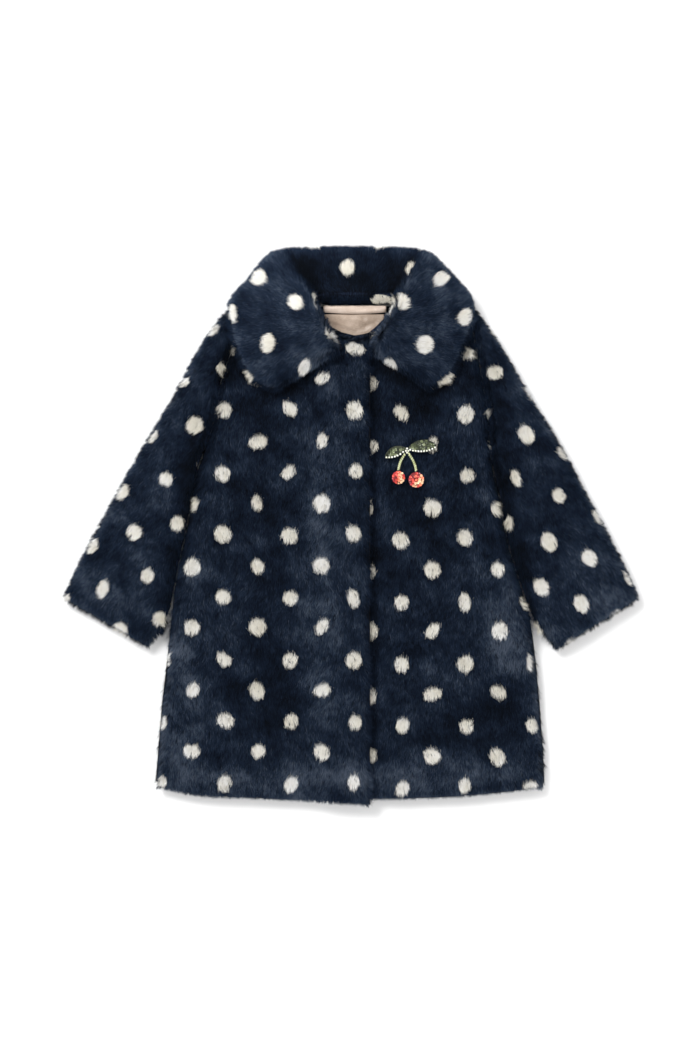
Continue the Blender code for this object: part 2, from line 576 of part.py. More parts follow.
def collar_mesh(top_grid, low_grid, leg_low, leg_high):
    """The strip's closed mesh, with the part that is folded under at its back."""
    vertices, index = [], {}

    def vertex(kind, k, j):
        if (kind, k, j) not in index:
            grid = {"top": top_grid, "low": low_grid, "leg": leg_low, "slit": leg_high}[kind]
            index[(kind, k, j)] = len(vertices)
            vertices.append(grid[k][j])
        return index[(kind, k, j)]

    faces = []
    columns = len(top_grid[0])
    edge = columns - 1
    joint = columns - 3                 # the strip and its under layer part here
    leg_count = len(next(iter(leg_low.values())))
    slit_start = 2                      # same distance from the outer edge as the joint
    for k in range(len(top_grid) - 1):
        both = k in leg_low and k + 1 in leg_low
        for j in range(columns - 1):
            faces.append([vertex("top", k, j), vertex("top", k + 1, j),
                          vertex("top", k + 1, j + 1), vertex("top", k, j + 1)])
            if not both or j < joint:
                faces.append([vertex("low", k, j + 1), vertex("low", k + 1, j + 1),
                              vertex("low", k + 1, j), vertex("low", k, j)])
        faces.append([vertex("top", k, 0), vertex("low", k, 0),
                      vertex("low", k + 1, 0), vertex("top", k + 1, 0)])
        if not both:
            faces.append([vertex("top", k, edge), vertex("top", k + 1, edge),
                          vertex("low", k + 1, edge), vertex("low", k, edge)])
            continue
        rim = [vertex("top", k, edge), vertex("top", k + 1, edge)]
        if k + 2 not in leg_low:
            rim.append(vertex("low", k + 1, edge))
        rim += [vertex("leg", k + 1, 0), vertex("leg", k, 0)]
        if k - 1 not in leg_low:
            rim.append(vertex("low", k, edge))
        faces.append(rim)
        for j in range(leg_count - 1):
            faces.append([vertex("leg", k, j), vertex("leg", k + 1, j),
                          vertex("leg", k + 1, j + 1), vertex("leg", k, j + 1)])
        faces.append([vertex("leg", k, leg_count - 1), vertex("leg", k + 1, leg_count - 1),
                      vertex("slit", k + 1, leg_count - 1), vertex("slit", k, leg_count - 1)])
        for j in range(slit_start + 1, leg_count - 1):
            faces.append([vertex("slit", k, j + 1), vertex("slit", k + 1, j + 1),
                          vertex("slit", k + 1, j), vertex("slit", k, j)])
        faces.append([vertex("slit", k, slit_start + 1), vertex("slit", k + 1, slit_start + 1),
                      vertex("low", k + 1, joint), vertex("low", k, joint)])
    first, last = min(leg_low), max(leg_low)
    for k, flip in ((first, False), (last, True)):
        cap = [vertex("low", k, edge)] + [vertex("leg", k, j) for j in range(leg_count)]
        cap += [vertex("slit", k, j) for j in range(leg_count - 1, slit_start, -1)]
        cap += [vertex("low", k, j) for j in range(joint, edge)]
        faces.append(cap[::-1] if flip else cap)
    for k, flip in ((0, False), (len(top_grid) - 1, True)):
        for j in range(columns - 1):
            quad = [vertex("top", k, j), vertex("top", k, j + 1),
                    vertex("low", k, j + 1), vertex("low", k, j)]
            faces.append(quad[::-1] if flip else quad)
    return solid("collar", vertices, faces, NAVY_FUR, 0.9)


# ---------------------------------------------------------------- inside the neck
def build_neck_band():
    """Satin tape along the back neck seam."""
    x = np.linspace(-29.0, 37.0, 13)
    across = np.array([0.0, 0.06, 0.22, 0.5, 0.8, 0.96, 1.0])
    sag = 1.5 * (1.0 - ((x - 4.0) / 33.0) ** 2)
    low_y, high_y = 224.6 - sag, np.full(len(x), BACK_NECK_Y - 0.3)
    gx = np.repeat(x[None, :], len(across), 0)
    gy = low_y[None, :] + (high_y - low_y)[None, :] * across[:, None]
    low = BACK_WALL - neck_hollow(gx, gy) + SEAM
    crown = 1.2 + 3.6 * np.sin(math.pi * (0.12 + 0.76 * across)) ** 0.7
    high = low + crown[:, None] + 1.6 * across[:, None]
    return plate("neck_band", gx, gy, low, high, SATIN, 0.45)


def build_lining():
    """The satin that shows on the inside of the back, within the neckline."""
    x = np.linspace(-28.0, 35.0, 15)
    across = np.linspace(0.0, 1.0, 8)
    bow = np.sqrt(np.clip(1.0 - ((x - 3.5) / 36.0) ** 2, 0.0, 1.0))
    low_y = 208.0 - 14.5 * bow
    high_y = np.full(len(x), 222.6)
    gx = np.repeat(x[None, :], len(across), 0)
    gy = low_y[None, :] + (high_y - low_y)[None, :] * across[:, None]
    low = BACK_WALL - neck_hollow(gx, gy) + SEAM
    ripple = 0.35 * np.sin((gx + 0.6 * gy) / 5.5)
    return plate("lining", gx, gy, low, low + 1.4 + ripple, SATIN, 0.4)


# ---------------------------------------------------------------- cherry ornament
def domed(name, center_line, half_widths, color, height):
    """A long domed patch on the left front: rings of half widths along a centre line."""
    points = np.array(center_line, dtype=float)
    direction = np.gradient(points, axis=0)
    direction /= np.linalg.norm(direction, axis=1)[:, None]
    normal = np.stack([-direction[:, 1], direction[:, 0]], 1)
    across = np.array([-1.0, -0.75, -0.3, 0.3, 0.75, 1.0])
    gx = points[:, 0][:, None] + normal[:, 0][:, None] * half_widths[:, None] * across[None, :]
    gy = points[:, 1][:, None] + normal[:, 1][:, None] * half_widths[:, None] * across[None, :]
    low = front_left_top(gx, gy) + ORNAMENT_LIFT
    fullness = (half_widths / np.max(half_widths))[:, None] ** 0.5
    high = low + 0.6 + (height - 0.6) * np.sqrt(1.0 - across[None, :] ** 2) * fullness
    return plate(name, gx[:, ::-1], gy[:, ::-1], low[:, ::-1], high[:, ::-1], color, 0.35)


def build_leaf(name, root, tip, width):
    """A pointed leaf whose middle line bows upwards."""
    t = np.linspace(0.0, 1.0, 12)
    bow = np.array([-(tip[1] - root[1]), tip[0] - root[0]]) * 0.06
    if tip[0] < root[0]:
        bow = -bow
    line_points = [np.array(root) * (1 - s) + np.array(tip) * s + bow * math.sin(math.pi * s)
                   for s in t]
    half = 0.5 * width * (0.1 + 0.9 * np.sin(math.pi * (0.04 + 0.93 * t)) ** 0.75)
    return domed(name, line_points, half, LEAF_GREEN, ORNAMENT_HEIGHT)


def build_stem(name, bottom):
    """A thin stem from a cherry up to where the leaves meet."""
    t = np.linspace(0.0, 1.0, 8)
    top = np.array(STEM_TOP) + np.array([math.copysign(1.7, bottom[0] - STEM_TOP[0]), -1.2])
    bow = 1.6 * math.copysign(1.0, bottom[0] - STEM_TOP[0])
    line_points = [top * (1 - s) + np.array(bottom) * s + np.array([bow, 0.0])
                   * math.sin(math.pi * s) for s in t]
    return domed(name, line_points, np.full(len(t), STEM_HALF_WIDTH), STEM_GREEN, STEM_HEIGHT)


def build_cherry(name, center, radius):
    """A round domed cherry."""
    t = np.linspace(-1.0, 1.0, 11) * 0.985
    line_points = [np.array(center) + np.array([radius * s, 0.0]) for s in t]
    half = radius * np.sqrt(1.0 - t * t)
    return domed(name, line_points, half, CHERRY_RED, ORNAMENT_HEIGHT + 0.8)


def build():
    """Clears the scene and makes every piece of the coat."""
    for old in list(bpy.data.objects):
        bpy.data.objects.remove(old, do_unlink=True)
    build_back()
    build_front_right()
    build_front_left()
    build_sleeve("sleeve_right", -1)
    build_sleeve("sleeve_left", 1)
    build_collar()
    build_neck_band()
    build_lining()
    for name, rx, ry, tx, ty, width in LEAVES:
        build_leaf(name, (rx, ry), (tx, ty), width)
    for name, x, y, radius in CHERRIES:
        build_cherry(name, (x, y), radius)
        build_stem("stem_" + name.split("_")[1], (x, y + radius + 1.0))


build()
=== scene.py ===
import math

import bmesh
import bpy
import numpy as np
from mathutils import Matrix, Vector
from mathutils.bvhtree import BVHTree


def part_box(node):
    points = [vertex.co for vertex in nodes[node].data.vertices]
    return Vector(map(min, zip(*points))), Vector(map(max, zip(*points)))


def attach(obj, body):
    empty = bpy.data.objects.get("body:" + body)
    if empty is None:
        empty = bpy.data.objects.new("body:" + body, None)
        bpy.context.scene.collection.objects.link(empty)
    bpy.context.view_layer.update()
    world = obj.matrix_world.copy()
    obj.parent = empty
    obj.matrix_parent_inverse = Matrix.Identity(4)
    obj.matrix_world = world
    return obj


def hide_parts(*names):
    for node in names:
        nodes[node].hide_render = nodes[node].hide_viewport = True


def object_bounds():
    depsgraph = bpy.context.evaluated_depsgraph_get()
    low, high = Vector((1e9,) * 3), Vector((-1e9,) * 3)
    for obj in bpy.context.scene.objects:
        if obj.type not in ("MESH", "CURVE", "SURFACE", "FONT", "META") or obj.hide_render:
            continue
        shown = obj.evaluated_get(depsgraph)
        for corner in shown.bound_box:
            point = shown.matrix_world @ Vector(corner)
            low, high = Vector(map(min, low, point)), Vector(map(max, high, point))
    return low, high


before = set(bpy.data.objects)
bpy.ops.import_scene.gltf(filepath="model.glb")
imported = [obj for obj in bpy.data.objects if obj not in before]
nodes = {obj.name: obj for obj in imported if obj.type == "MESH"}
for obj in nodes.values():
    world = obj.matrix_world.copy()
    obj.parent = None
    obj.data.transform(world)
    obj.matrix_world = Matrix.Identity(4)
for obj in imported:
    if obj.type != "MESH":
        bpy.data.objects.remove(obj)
CAD_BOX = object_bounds()
MM = 0.001
print("solids:", len(nodes), "box in metres:", CAD_BOX)


# %% [markdown]
# Colours are written as the eye sees them, as sRGB hex codes, while Blender's nodes want them linear.
# One function turns them over. Another adds a shader node with its settings and links, which keeps
# each material below a short list of steps.
# %% Colours and shader nodes
def linear(code):
    """The linear colour, with alpha, of an sRGB hex code such as #1b2434."""
    values = [int(code[i : i + 2], 16) / 255 for i in (1, 3, 5)]
    return [v / 12.92 if v <= 0.04045 else ((v + 0.055) / 1.055) ** 2.4 for v in values] + [1.0]


def add(material, kind, inputs=None, **settings):
    """Adds a shader node. An input takes a number, a colour or another node's output."""
    made = material.node_tree.nodes.new("ShaderNode" + kind)
    for name, value in settings.items():
        setattr(made, name, value)
    for name, value in (inputs or {}).items():
        if isinstance(value, bpy.types.NodeSocket):
            material.node_tree.links.new(value, made.inputs[name])
        else:
            made.inputs[name].default_value = value
    return made


def ramp(material, factor, stops):
    """A colour ramp from (place, hex) stops, driven by another node's output."""
    made = add(material, "ValToRGB", {"Fac": factor})
    band = made.color_ramp.elements
    while len(band) < len(stops):
        band.new(1.0)
    for element, (place, code) in zip(band, stops):
        element.position = place
        element.color = linear(code)
    return made.outputs["Color"]


def new_material(name):
    """An empty material and its output node."""
    material = bpy.data.materials.new(name)
    material.use_nodes = True
    material.node_tree.nodes.clear()
    return material, add(material, "OutputMaterial")


def finish_material(material, output, **inputs):
    """Ends a material in one Principled shader with the given inputs."""
    named = {name.replace("_", " "): value for name, value in inputs.items()}
    shader = add(material, "BsdfPrincipled", named)
    material.node_tree.links.new(shader.outputs["BSDF"], output.inputs["Surface"])
    print(material.name, "has", len(material.node_tree.nodes), "nodes")
    return material


# %% [markdown]
# The pile is acrylic fibre. It is dyed before it is cut, so one hair has one colour from root to tip,
# only darker at its root, where no light gets in. Blender's hair curves could carry it, but a library
# part needs faces. So each hair will be a thin blade that carries two numbers in its UV map: its
# shade, and how far along it a point lies. Two ramps turn the shade into navy or cream, and the
# second number mixes from the root's colour to the tip's. Below 0.6 a shade is navy, above it cream.
# %% Pile material: cut acrylic, matt and dry, so it shows colour and hardly any highlight
acrylic_pile, output = new_material("cut_acrylic_pile")
hair = add(acrylic_pile, "UVMap", uv_map="OFBake").outputs["UV"]
parts = add(acrylic_pile, "SeparateXYZ", {"Vector": hair}).outputs
tip_colour = ramp(acrylic_pile, parts["X"], (
    (0.00, "#02060d"), (0.15, "#08111e"), (0.30, "#132034"), (0.42, "#263346"),
    (0.52, "#404c5e"), (0.60, "#5f697a"), (0.64, "#d6cfbd"), (0.80, "#f6f2e6"), (1.00, "#ffffff"),
))
# The root ramp is painted shade: hairs darken towards the root, where no light gets in.
root_colour = ramp(acrylic_pile, parts["X"], (
    (0.00, "#010205"), (0.60, "#141b26"), (0.64, "#b3ad9f"), (1.00, "#e8e4da"),
))
along_hair = add(acrylic_pile, "MapRange", {"Value": parts["Y"], "From Min": 0.0, "From Max": 0.75})
hair_colour = add(acrylic_pile, "Mix", {"Factor": along_hair.outputs["Result"]}, data_type="RGBA")
COLOUR_A, COLOUR_B = 6, 7  # the mix node's two colour inputs
acrylic_pile.node_tree.links.new(root_colour, hair_colour.inputs[COLOUR_A])
acrylic_pile.node_tree.links.new(tip_colour, hair_colour.inputs[COLOUR_B])
finish_material(
    acrylic_pile, output, Base_Color=hair_colour.outputs[2], Roughness=0.7,
    Specular_IOR_Level=0.07, Sheen_Weight=0.03, Sheen_Roughness=0.5,
    Sheen_Tint=linear("#a9b6cf"),
)

# %% [markdown]
# The pile is held by a knitted polyester backing, dyed navy. It only shows as darkness between the
# tufts, and on the flat underside, where pile is pressed and its streaks run down the coat. Noise
# stretched along the coat gives those streaks, and a wider noise makes them come and go.
# %% Backing material: knitted polyester, dull and dark, with fine raised streaks
STREAKS_PER_METRE = (900.0, 160.0, 300.0)    # a streak is about 1.1 mm wide and 6 mm long
PATCHES_PER_METRE = 70.0   # a patch is about 14 mm wide
knitted_backing, output = new_material("knitted_polyester_backing")
place = add(knitted_backing, "TexCoord").outputs["Object"]
streaks = add(knitted_backing, "Mapping", {"Vector": place, "Scale": STREAKS_PER_METRE})
fibres = add(knitted_backing, "TexNoise", {
    "Vector": streaks.outputs["Vector"], "Scale": 1.0, "Detail": 4.0})
patches = add(knitted_backing, "TexNoise", {
    "Vector": place, "Scale": PATCHES_PER_METRE, "Detail": 3.0})
both = add(knitted_backing, "Math", {
    0: fibres.outputs["Fac"], 1: patches.outputs["Fac"]}, operation="MULTIPLY")
backing_colour = ramp(knitted_backing, both.outputs["Value"], (
    (0.12, "#03060c"), (0.26, "#0e1624"), (0.42, "#26324a"),
))
raised_fibres = add(knitted_backing, "Bump", {
    "Height": fibres.outputs["Fac"], "Strength": 0.6, "Distance": 0.0006})
finish_material(
    knitted_backing, output, Base_Color=backing_colour, Roughness=0.9,
    Normal=raised_fibres.outputs["Normal"],
    Specular_IOR_Level=0.1, Sheen_Weight=0.03, Sheen_Roughness=0.5,
)


# %% [markdown]
# A panel's solid is read as plain arrays: its points, triangles and smoothed normals. Corners that
# share a place share a normal, so the pile turns evenly round an edge and doesn't part there. Blender
# could smooth them too, but arrays are what the sums for the hairs need.
# %% Reading a solid
def unit(vectors):
    """The same vectors, one unit long."""
    return vectors / np.maximum(np.linalg.norm(vectors, axis=-1, keepdims=True), 1e-12)


def read_solid(name):
    """Welded points, triangles and smoothed point normals of a CAD node, in metres."""
    mesh = nodes[name].data
    mesh.calc_loop_triangles()
    points = np.empty(len(mesh.vertices) * 3)
    mesh.vertices.foreach_get("co", points)
    triangles = np.empty(len(mesh.loop_triangles) * 3, dtype=np.int32)
    mesh.loop_triangles.foreach_get("vertices", triangles)
    _, first, welded = np.unique(
        np.round(points.reshape(-1, 3), 6), axis=0, return_index=True, return_inverse=True
    )
    points = points.reshape(-1, 3)[first]
    triangles = welded.ravel()[triangles].reshape(-1, 3)
    corners = points[triangles]
    across = np.cross(corners[:, 1] - corners[:, 0], corners[:, 2] - corners[:, 0])
    normals = np.zeros_like(points)
    for corner in range(3):
        np.add.at(normals, triangles[:, corner], across)
    return points, triangles, unit(normals)


def tree_of(names):
    """A search tree over the triangles of some CAD nodes, for casting rays."""
    points, triangles = [], []
    for name in names:
        node_points, node_triangles, _ = read_solid(name)
        triangles.append(node_triangles + sum(len(p) for p in points))
        points.append(node_points)
    return BVHTree.FromPolygons(np.vstack(points).tolist(), np.vstack(triangles).tolist())


print("triangles on the back:", len(read_solid("back")[1]))


# %% [markdown]
# Real pile clumps. Neighbouring hairs lean together, so the tone changes from tuft to tuft and not
# from hair to hair. A hair simulation could clump them, slowly. A jittered grid is quick and gives
# the same tufts on each run: a cell holds one middle, and each hair belongs to the nearest middle.
# Wider unevenness comes from a few sine waves that cross at random angles.
# %% Tufts and soft unevenness
TUFT_TABLE = 512           # cells each way before the tufts repeat


def tufts(places, size, seed):
    """The middle of each point's tuft, and four random numbers of that tuft."""
    table = np.random.default_rng(seed).random((TUFT_TABLE, TUFT_TABLE, 4))
    cell = np.floor(places[:, :2] / size).astype(int)
    middles = np.zeros((len(places), 2))
    numbers = np.zeros((len(places), 4))
    nearest = np.full(len(places), np.inf)
    for dx in (-1, 0, 1):
        for dy in (-1, 0, 1):
            other = cell + (dx, dy)
            random = table[other[:, 0] % TUFT_TABLE, other[:, 1] % TUFT_TABLE]
            middle = (other + 0.1 + 0.8 * random[:, :2]) * size
            distance = ((middle - places[:, :2]) ** 2).sum(axis=1)
            closer = distance < nearest
            nearest[closer] = distance[closer]
            middles[closer] = middle[closer]
            numbers[closer] = random[closer]
    return middles, numbers


def waves(places, size, seed, count=8):
    """Smooth uneven numbers, mostly between -1 and 1, that change over about size."""
    random = np.random.default_rng(seed)
    total = np.zeros(len(places))
    for _ in range(count):
        angle, phase = random.uniform(0, 2 * math.pi, 2)
        length = 2 * size * random.uniform(0.7, 1.6)
        way = places[:, 0] * math.cos(angle) + places[:, 1] * math.sin(angle)
        total += np.sin(way * 2 * math.pi / length + phase)
    return total / math.sqrt(count / 2) / 1.5


# %% [markdown]
# The cloth has one plain half-drop repeat of dots: columns 34.3 mm apart, dots 65.3 mm apart down a
# column, and every second column dropped by half. Dots could be placed one by one, but that would
# copy a single coat. Instead each piece is cut from the same cloth with its own start and grain, as a
# cutter lays a pattern, so it needs only where one dot lies and how its grain turns and stretches.
# %% The dotted cloth
COLUMN_PITCH = 34.3 * MM
ROW_PITCH = 65.3 * MM
DOT_RADIUS = (7.2 * MM, 9.0 * MM)
DOT_WANDER = 1.6 * MM      # how far a dot may lie from its place in the repeat
DOT_SQUEEZE = 0.45         # how much flatter the least round dot is
DOT_TABLE = 64             # columns and rows before the dots' small differences repeat
GRAIN = {  # a dot's place in mm, the grain's turn anticlockwise in degrees, its stretch down and across
    "back": (-61.4, 55.6, 0.0, 1.0, 1.0),
    "front_right": (4.2, 55.0, 0.0, 1.0, 1.0),
    "front_left": (121.0, 50.5, 0.0, 1.0, 1.0),
    "sleeve_right": (-195.3, 47.8, -29.0, 1.0, 1.0),
    "sleeve_left": (218.2, 30.0, 27.6, 1.13, 0.88),
    "collar_right": (-98.7, 261.9, 10.0, 1.1, 1.0),
    "collar_left": (53.6, 232.6, -13.0, 1.1, 1.0),
    "collar_back": (-4.2, 269.3, 0.0, 1.05, 1.0),
}


def in_dot(places, grain, seed):
    """Which of the places lie in a dot. Each dot wanders a little and is not quite round."""
    x0, y0, turn, stretch, spread = grain
    angle = math.radians(turn)
    shifted = places[:, :2] - np.array((x0, y0)) * MM
    across = (shifted[:, 0] * math.cos(angle) + shifted[:, 1] * math.sin(angle)) / spread
    down = (shifted[:, 1] * math.cos(angle) - shifted[:, 0] * math.sin(angle)) / stretch
    table = np.random.default_rng(seed).random((DOT_TABLE, DOT_TABLE, 5))
    inside = np.zeros(len(places), dtype=bool)
    nearest_column = np.round(across / COLUMN_PITCH).astype(int)
    for step in (-1, 0, 1):
        column = nearest_column + step
        drop = (column % 2) * ROW_PITCH / 2
        row = np.round((down - drop) / ROW_PITCH).astype(int)
        random = table[column % DOT_TABLE, row % DOT_TABLE]
        dx = across - column * COLUMN_PITCH - (random[:, 0] - 0.5) * 2 * DOT_WANDER
        dy = down - drop - row * ROW_PITCH - (random[:, 1] - 0.5) * 2 * DOT_WANDER
        tilt = random[:, 2] * math.pi
        squeeze = DOT_SQUEEZE * random[:, 3] ** 1.5
        wide = (dx * np.cos(tilt) + dy * np.sin(tilt)) * (1 + squeeze)
        high = (dy * np.cos(tilt) - dx * np.sin(tilt)) * (1 - 0.3 * squeeze)
        radius = DOT_RADIUS[0] + (DOT_RADIUS[1] - DOT_RADIUS[0]) * random[:, 4]
        inside |= wide**2 + high**2 < radius**2
    return inside


print("cloth to one dot, in mm2:", round(COLUMN_PITCH * ROW_PITCH / MM**2))

# %% [markdown]
# Over wide soft patches the pile is painted lighter or darker: painted shade in the hollows, under the
# collar, along each seam and the front edge, and painted light on the raised places, the hem and the
# outer edges. Noise alone would put these anywhere, so they are listed one by one, each with a middle,
# two half sizes and a strength. Two weak layers of waves of uneven tone lie over them.
# %% Painted light and shade on the pile
PAINTED_LIGHT_PATCHES = (  # x, y, half width, half height in mm, and how much painted light (+) or painted shade (-)
    (-127, 168, 16, 17, -0.12), (-85, 133, 42, 24, -0.13), (-55, 172, 34, 22, 0.03),
    (118, 163, 18, 16, -0.13), (64, 126, 38, 28, -0.19), (1, 195, 17, 20, 0.10),
    (-171, 52, 10, 48, -0.18), (160, 58, 11, 46, -0.18), (181, -38, 11, 32, -0.15),
    (153, 135, 14, 40, -0.10), (-150, 120, 12, 40, -0.08), (212, 35, 22, 40, -0.08),
    (-100, 35, 34, 60, -0.09), (-30, 27, 22, 126, 0.10), (-34, -140, 24, 120, 0.10),
    (-85, -60, 28, 60, -0.07), (-78, -190, 30, 42, -0.17), (-95, -130, 22, 30, -0.08),
    (-178, -176, 22, 105, 0.14), (12, 14, 9, 26, -0.07), (41, -54, 20, 30, -0.05),
    (85, 15, 40, 45, -0.10), (140, 32, 8, 32, 0.07), (80, -95, 30, 60, -0.05),
    (165, -112, 27, 52, 0.18), (150, -196, 30, 26, -0.18), (104, -225, 60, 10, -0.13),
    (0, -266, 230, 18, 0.16), (267, -78, 34, 34, 0.12), (-250, -80, 32, 32, 0.08),
    (-200, 20, 16, 60, 0.03), (-88, 215, 40, 40, -0.06), (-46, 268, 14, 14, -0.06),
    (48, 265, 14, 14, -0.06), (0, 245, 40, 14, -0.05), (25, -60, 4, 200, -0.10),
    (166, 20, 9, 30, -0.10), (178, -25, 9, 25, -0.12), (190, -66, 9, 24, -0.12),
    (-165, 78, 9, 28, -0.08), (-178, 22, 9, 30, -0.08), (-191, -42, 9, 32, -0.14),
    (-198, -88, 8, 20, -0.12),
)


def painted_light_and_tone(places):
    """How much painted light or shade, with some uneven tone, lies on the pile at each place."""
    total = 0.045 * waves(places, 13 * MM, 71) + 0.045 * waves(places, 27 * MM, 72)
    for x, y, wide, high, strength in PAINTED_LIGHT_PATCHES:
        gap = ((places[:, 0] / MM - x) / wide) ** 2 + ((places[:, 1] / MM - y) / high) ** 2
        total += strength * np.exp(-gap)
    return total


print("brushed places:", len(PAINTED_LIGHT_PATCHES))

# %% [markdown]
# The collar turns over along two roll lines that run from its top down to the neck. Outside them lie
# its two wings, whose pile stands up and gets painted light. Between them its stand gets painted shade,
# as if in the shade of the rolls, darkest just inside each one and lighter again along the top rim.
# %% Painted light and shade on the collar
ROLL_LINES = ((-70.0, 291.0, -33.0, 232.0), (74.0, 289.0, 40.0, 232.0))    # mm, top to neck
COLLAR_SHADE = 0.05        # how much lighter the wings are
STAND_SHADE = 0.2          # how much darker the stand is
VALLEY_SHADE = 0.07        # and how much more where the rolls meet it


def inside_rolls(places):
    """How far, in mm, each place lies inwards from the collar's left and right roll lines."""
    sides = []
    for x0, y0, x1, y1 in ROLL_LINES:
        line_x = x0 + (x1 - x0) * (places[:, 1] / MM - y0) / (y1 - y0)
        sides.append((places[:, 0] / MM - line_x) * (1 if x0 < 0 else -1))
    return sides


def collar_shade(places):
    """How much lighter or darker each place on the collar is."""
    nearest = np.minimum(*inside_rolls(places))
    y = places[:, 1] / MM
    inside = np.clip(nearest / 5, -1, 1) * 0.5 + 0.5
    valley = np.exp(-(((nearest - 2) / 4) ** 2)) * (y > 228)
    rim = np.clip((y - 278) / 10, 0, 1)
    return COLLAR_SHADE - STAND_SHADE * inside * (1 - 0.6 * rim) - VALLEY_SHADE * valley


# %% [markdown]
# What lies under another piece needs no pile, and hairs are costly. Rays could be cast from every
# hair, but a map of the highest solid at each place, made once by casting rays down, answers faster.
# It tells a hair whether it can be seen.
# %% What is covered
MAP_STEP = 2.5 * MM
PROBE = 4                  # mm out of the cloth at which a place is tested
COVER = 7                  # mm of cloth above that point that still let it be seen
low, high = np.array(CAD_BOX[0]), np.array(CAD_BOX[1])
map_size = np.ceil((high - low)[:2] / MAP_STEP).astype(int) + 3
everything = tree_of(sorted(nodes))
tops = np.full(map_size, -1.0)
for i in range(map_size[0]):
    for j in range(map_size[1]):
        x, y = low[0] + (i - 1) * MAP_STEP, low[1] + (j - 1) * MAP_STEP
        hit = everything.ray_cast(Vector((x, y, 1.0)), Vector((0, 0, -1)))[0]
        tops[i, j] = hit.z if hit else -1.0
shown_area = (tops > 0).sum() * MAP_STEP**2
print("covered map:", map_size, "highest:", tops.max(), "seen from above, in m2:", shown_area)


def height_at(places):
    """The top of all the solids over each place."""
    cell = np.clip(np.round((places[:, :2] - low[:2]) / MAP_STEP).astype(int) + 1, 0, map_size - 1)
    return tops[cell[:, 0], cell[:, 1]]


def seen(places, normals):
    """Which places on the solids are open to the air, upwards or outwards."""
    probe = places + normals * PROBE * MM
    return probe[:, 2] > height_at(probe) - COVER * MM


# %% [markdown]
# Hairs are sown at random, even by area, over the whole surface of a panel's solid, and kept where
# they can be seen. The back keeps none inside the neck, where satin lies over it. Blender's own
# scattering would need a modifier for each panel and gives no say in what counts as seen.
# %% Sowing hairs
NECK_OPENING = (4, 40, 188, 234)    # mm: its middle, half its width, its lowest and highest line
STEEPEST = -0.35           # hairs grow round an edge until the cloth faces down more than this


def scatter(name, count, seed):
    """Random places on a solid, even by area, that are seen, with their normals."""
    random = np.random.default_rng(seed)
    points, triangles, normals = read_solid(name)
    corners = points[triangles]
    area = np.linalg.norm(
        np.cross(corners[:, 1] - corners[:, 0], corners[:, 2] - corners[:, 0]), axis=1
    )
    middle, half, lowest, highest = NECK_OPENING
    places, ups = np.zeros((0, 3)), np.zeros((0, 3))
    while len(places) < count:
        chosen = random.choice(len(triangles), count, p=area / area.sum())
        a, b = random.random((2, count))
        over = a + b > 1
        a[over], b[over] = 1 - a[over], 1 - b[over]
        weights = np.stack((1 - a - b, a, b), axis=1)[:, :, None]
        more = (corners[chosen] * weights).sum(axis=1)
        up = unit((normals[triangles[chosen]] * weights).sum(axis=1))
        good = seen(more, up) & (up[:, 2] > STEEPEST)
        if name == "back":
            x, y = more[:, 0] / MM, more[:, 1] / MM
            good &= ~((np.abs(x - middle) < half) & (y > lowest) & (y < highest))
        places, ups = np.vstack((places, more[good])), np.vstack((ups, up[good]))
    return places[:count], ups[:count]


# %% [markdown]
# Pile lies one way, its nap. On the body and the sleeves it lies down the grain of the cloth. On the
# collar it fans out from the neck, and along the stand's lowest edge it hangs down in a short fringe.
# %% The lie of the pile
NECK = np.array((4.0, 214.0)) * MM
FRINGE = (228, 243, 38)    # mm: the strip's lowest and highest line, and half its width


def on_fringe(name, places):
    """Which places lie on the collar stand's lowest strip, whose short pile hangs over the band."""
    lowest, highest, half = FRINGE
    strip = (places[:, 1] > lowest * MM) & (places[:, 1] < highest * MM)
    return strip & (np.abs(places[:, 0] - NECK[0]) < half * MM) & (name == "collar")


def nap_of(name, places):
    """The way the pile lies at each place."""
    way = np.zeros_like(places)
    if name == "collar":
        way[:, :2] = unit(places[:, :2] - NECK)
        way[:, 2] = -0.5
        way[on_fringe(name, places), 1] = -1.0
    else:
        angle = math.radians(GRAIN[name][2])
        way[:, 0] = math.sin(angle)
        way[:, 1] = -math.cos(angle)
    return way


# %% [markdown]
# A dot that lies on an edge runs on round it. Seen from above, the turned part looks short, so a
# place on it is first rolled out flat: it moves outwards by as much as the edge has dropped there.
# The collar is three lengths of cloth, parted by its roll lines. No dot lies behind the cherries.
# %% The print under a hair
ORNAMENT = (60.0 * MM, 64.0 * MM, 34.0 * MM)    # middle and reach of the cherries and leaves
BEHIND_CHERRIES = (12, 18)    # mm: how far below that middle the cherries lie, and their reach
EDGE_REACH = 11            # mm inwards from an edge, where the cloth is flat again
MOST_DROP = 30             # mm


def outward_of(normals):
    """The sideways part of each normal, one unit long wherever the cloth slopes."""
    return normals[:, :2] / np.maximum(np.linalg.norm(normals[:, :2], axis=1), 0.05)[:, None]


def unrolled(places, normals):
    """The places as they lay on the flat cloth, before its edges were turned down."""
    outward = outward_of(normals)
    inner = height_at(places[:, :2] - outward * EDGE_REACH * MM)
    steep = np.linalg.norm(normals[:, :2], axis=1)
    drop = np.clip(inner - places[:, 2], 0, MOST_DROP * MM) * steep
    moved = places.copy()
    moved[:, :2] += outward * drop[:, None]
    return moved


def grain_of(name, places):
    """The shade of the printed cloth under each place: True in a dot."""
    if name != "collar":
        below, reach = BEHIND_CHERRIES
        away = np.hypot(places[:, 0] - ORNAMENT[0], places[:, 1] - ORNAMENT[1] + below * MM)
        return in_dot(places, GRAIN[name], 5) & ~(away < reach * MM)
    right, left = inside_rolls(places)
    wing = np.where(right < 0, 0, np.where(left < 0, 2, 1))
    result = np.zeros(len(places), dtype=bool)
    for number, part in enumerate(("collar_right", "collar_back", "collar_left")):
        chosen = wing == number
        result[chosen] = in_dot(places[chosen], GRAIN[part], 6 + number)
    return result


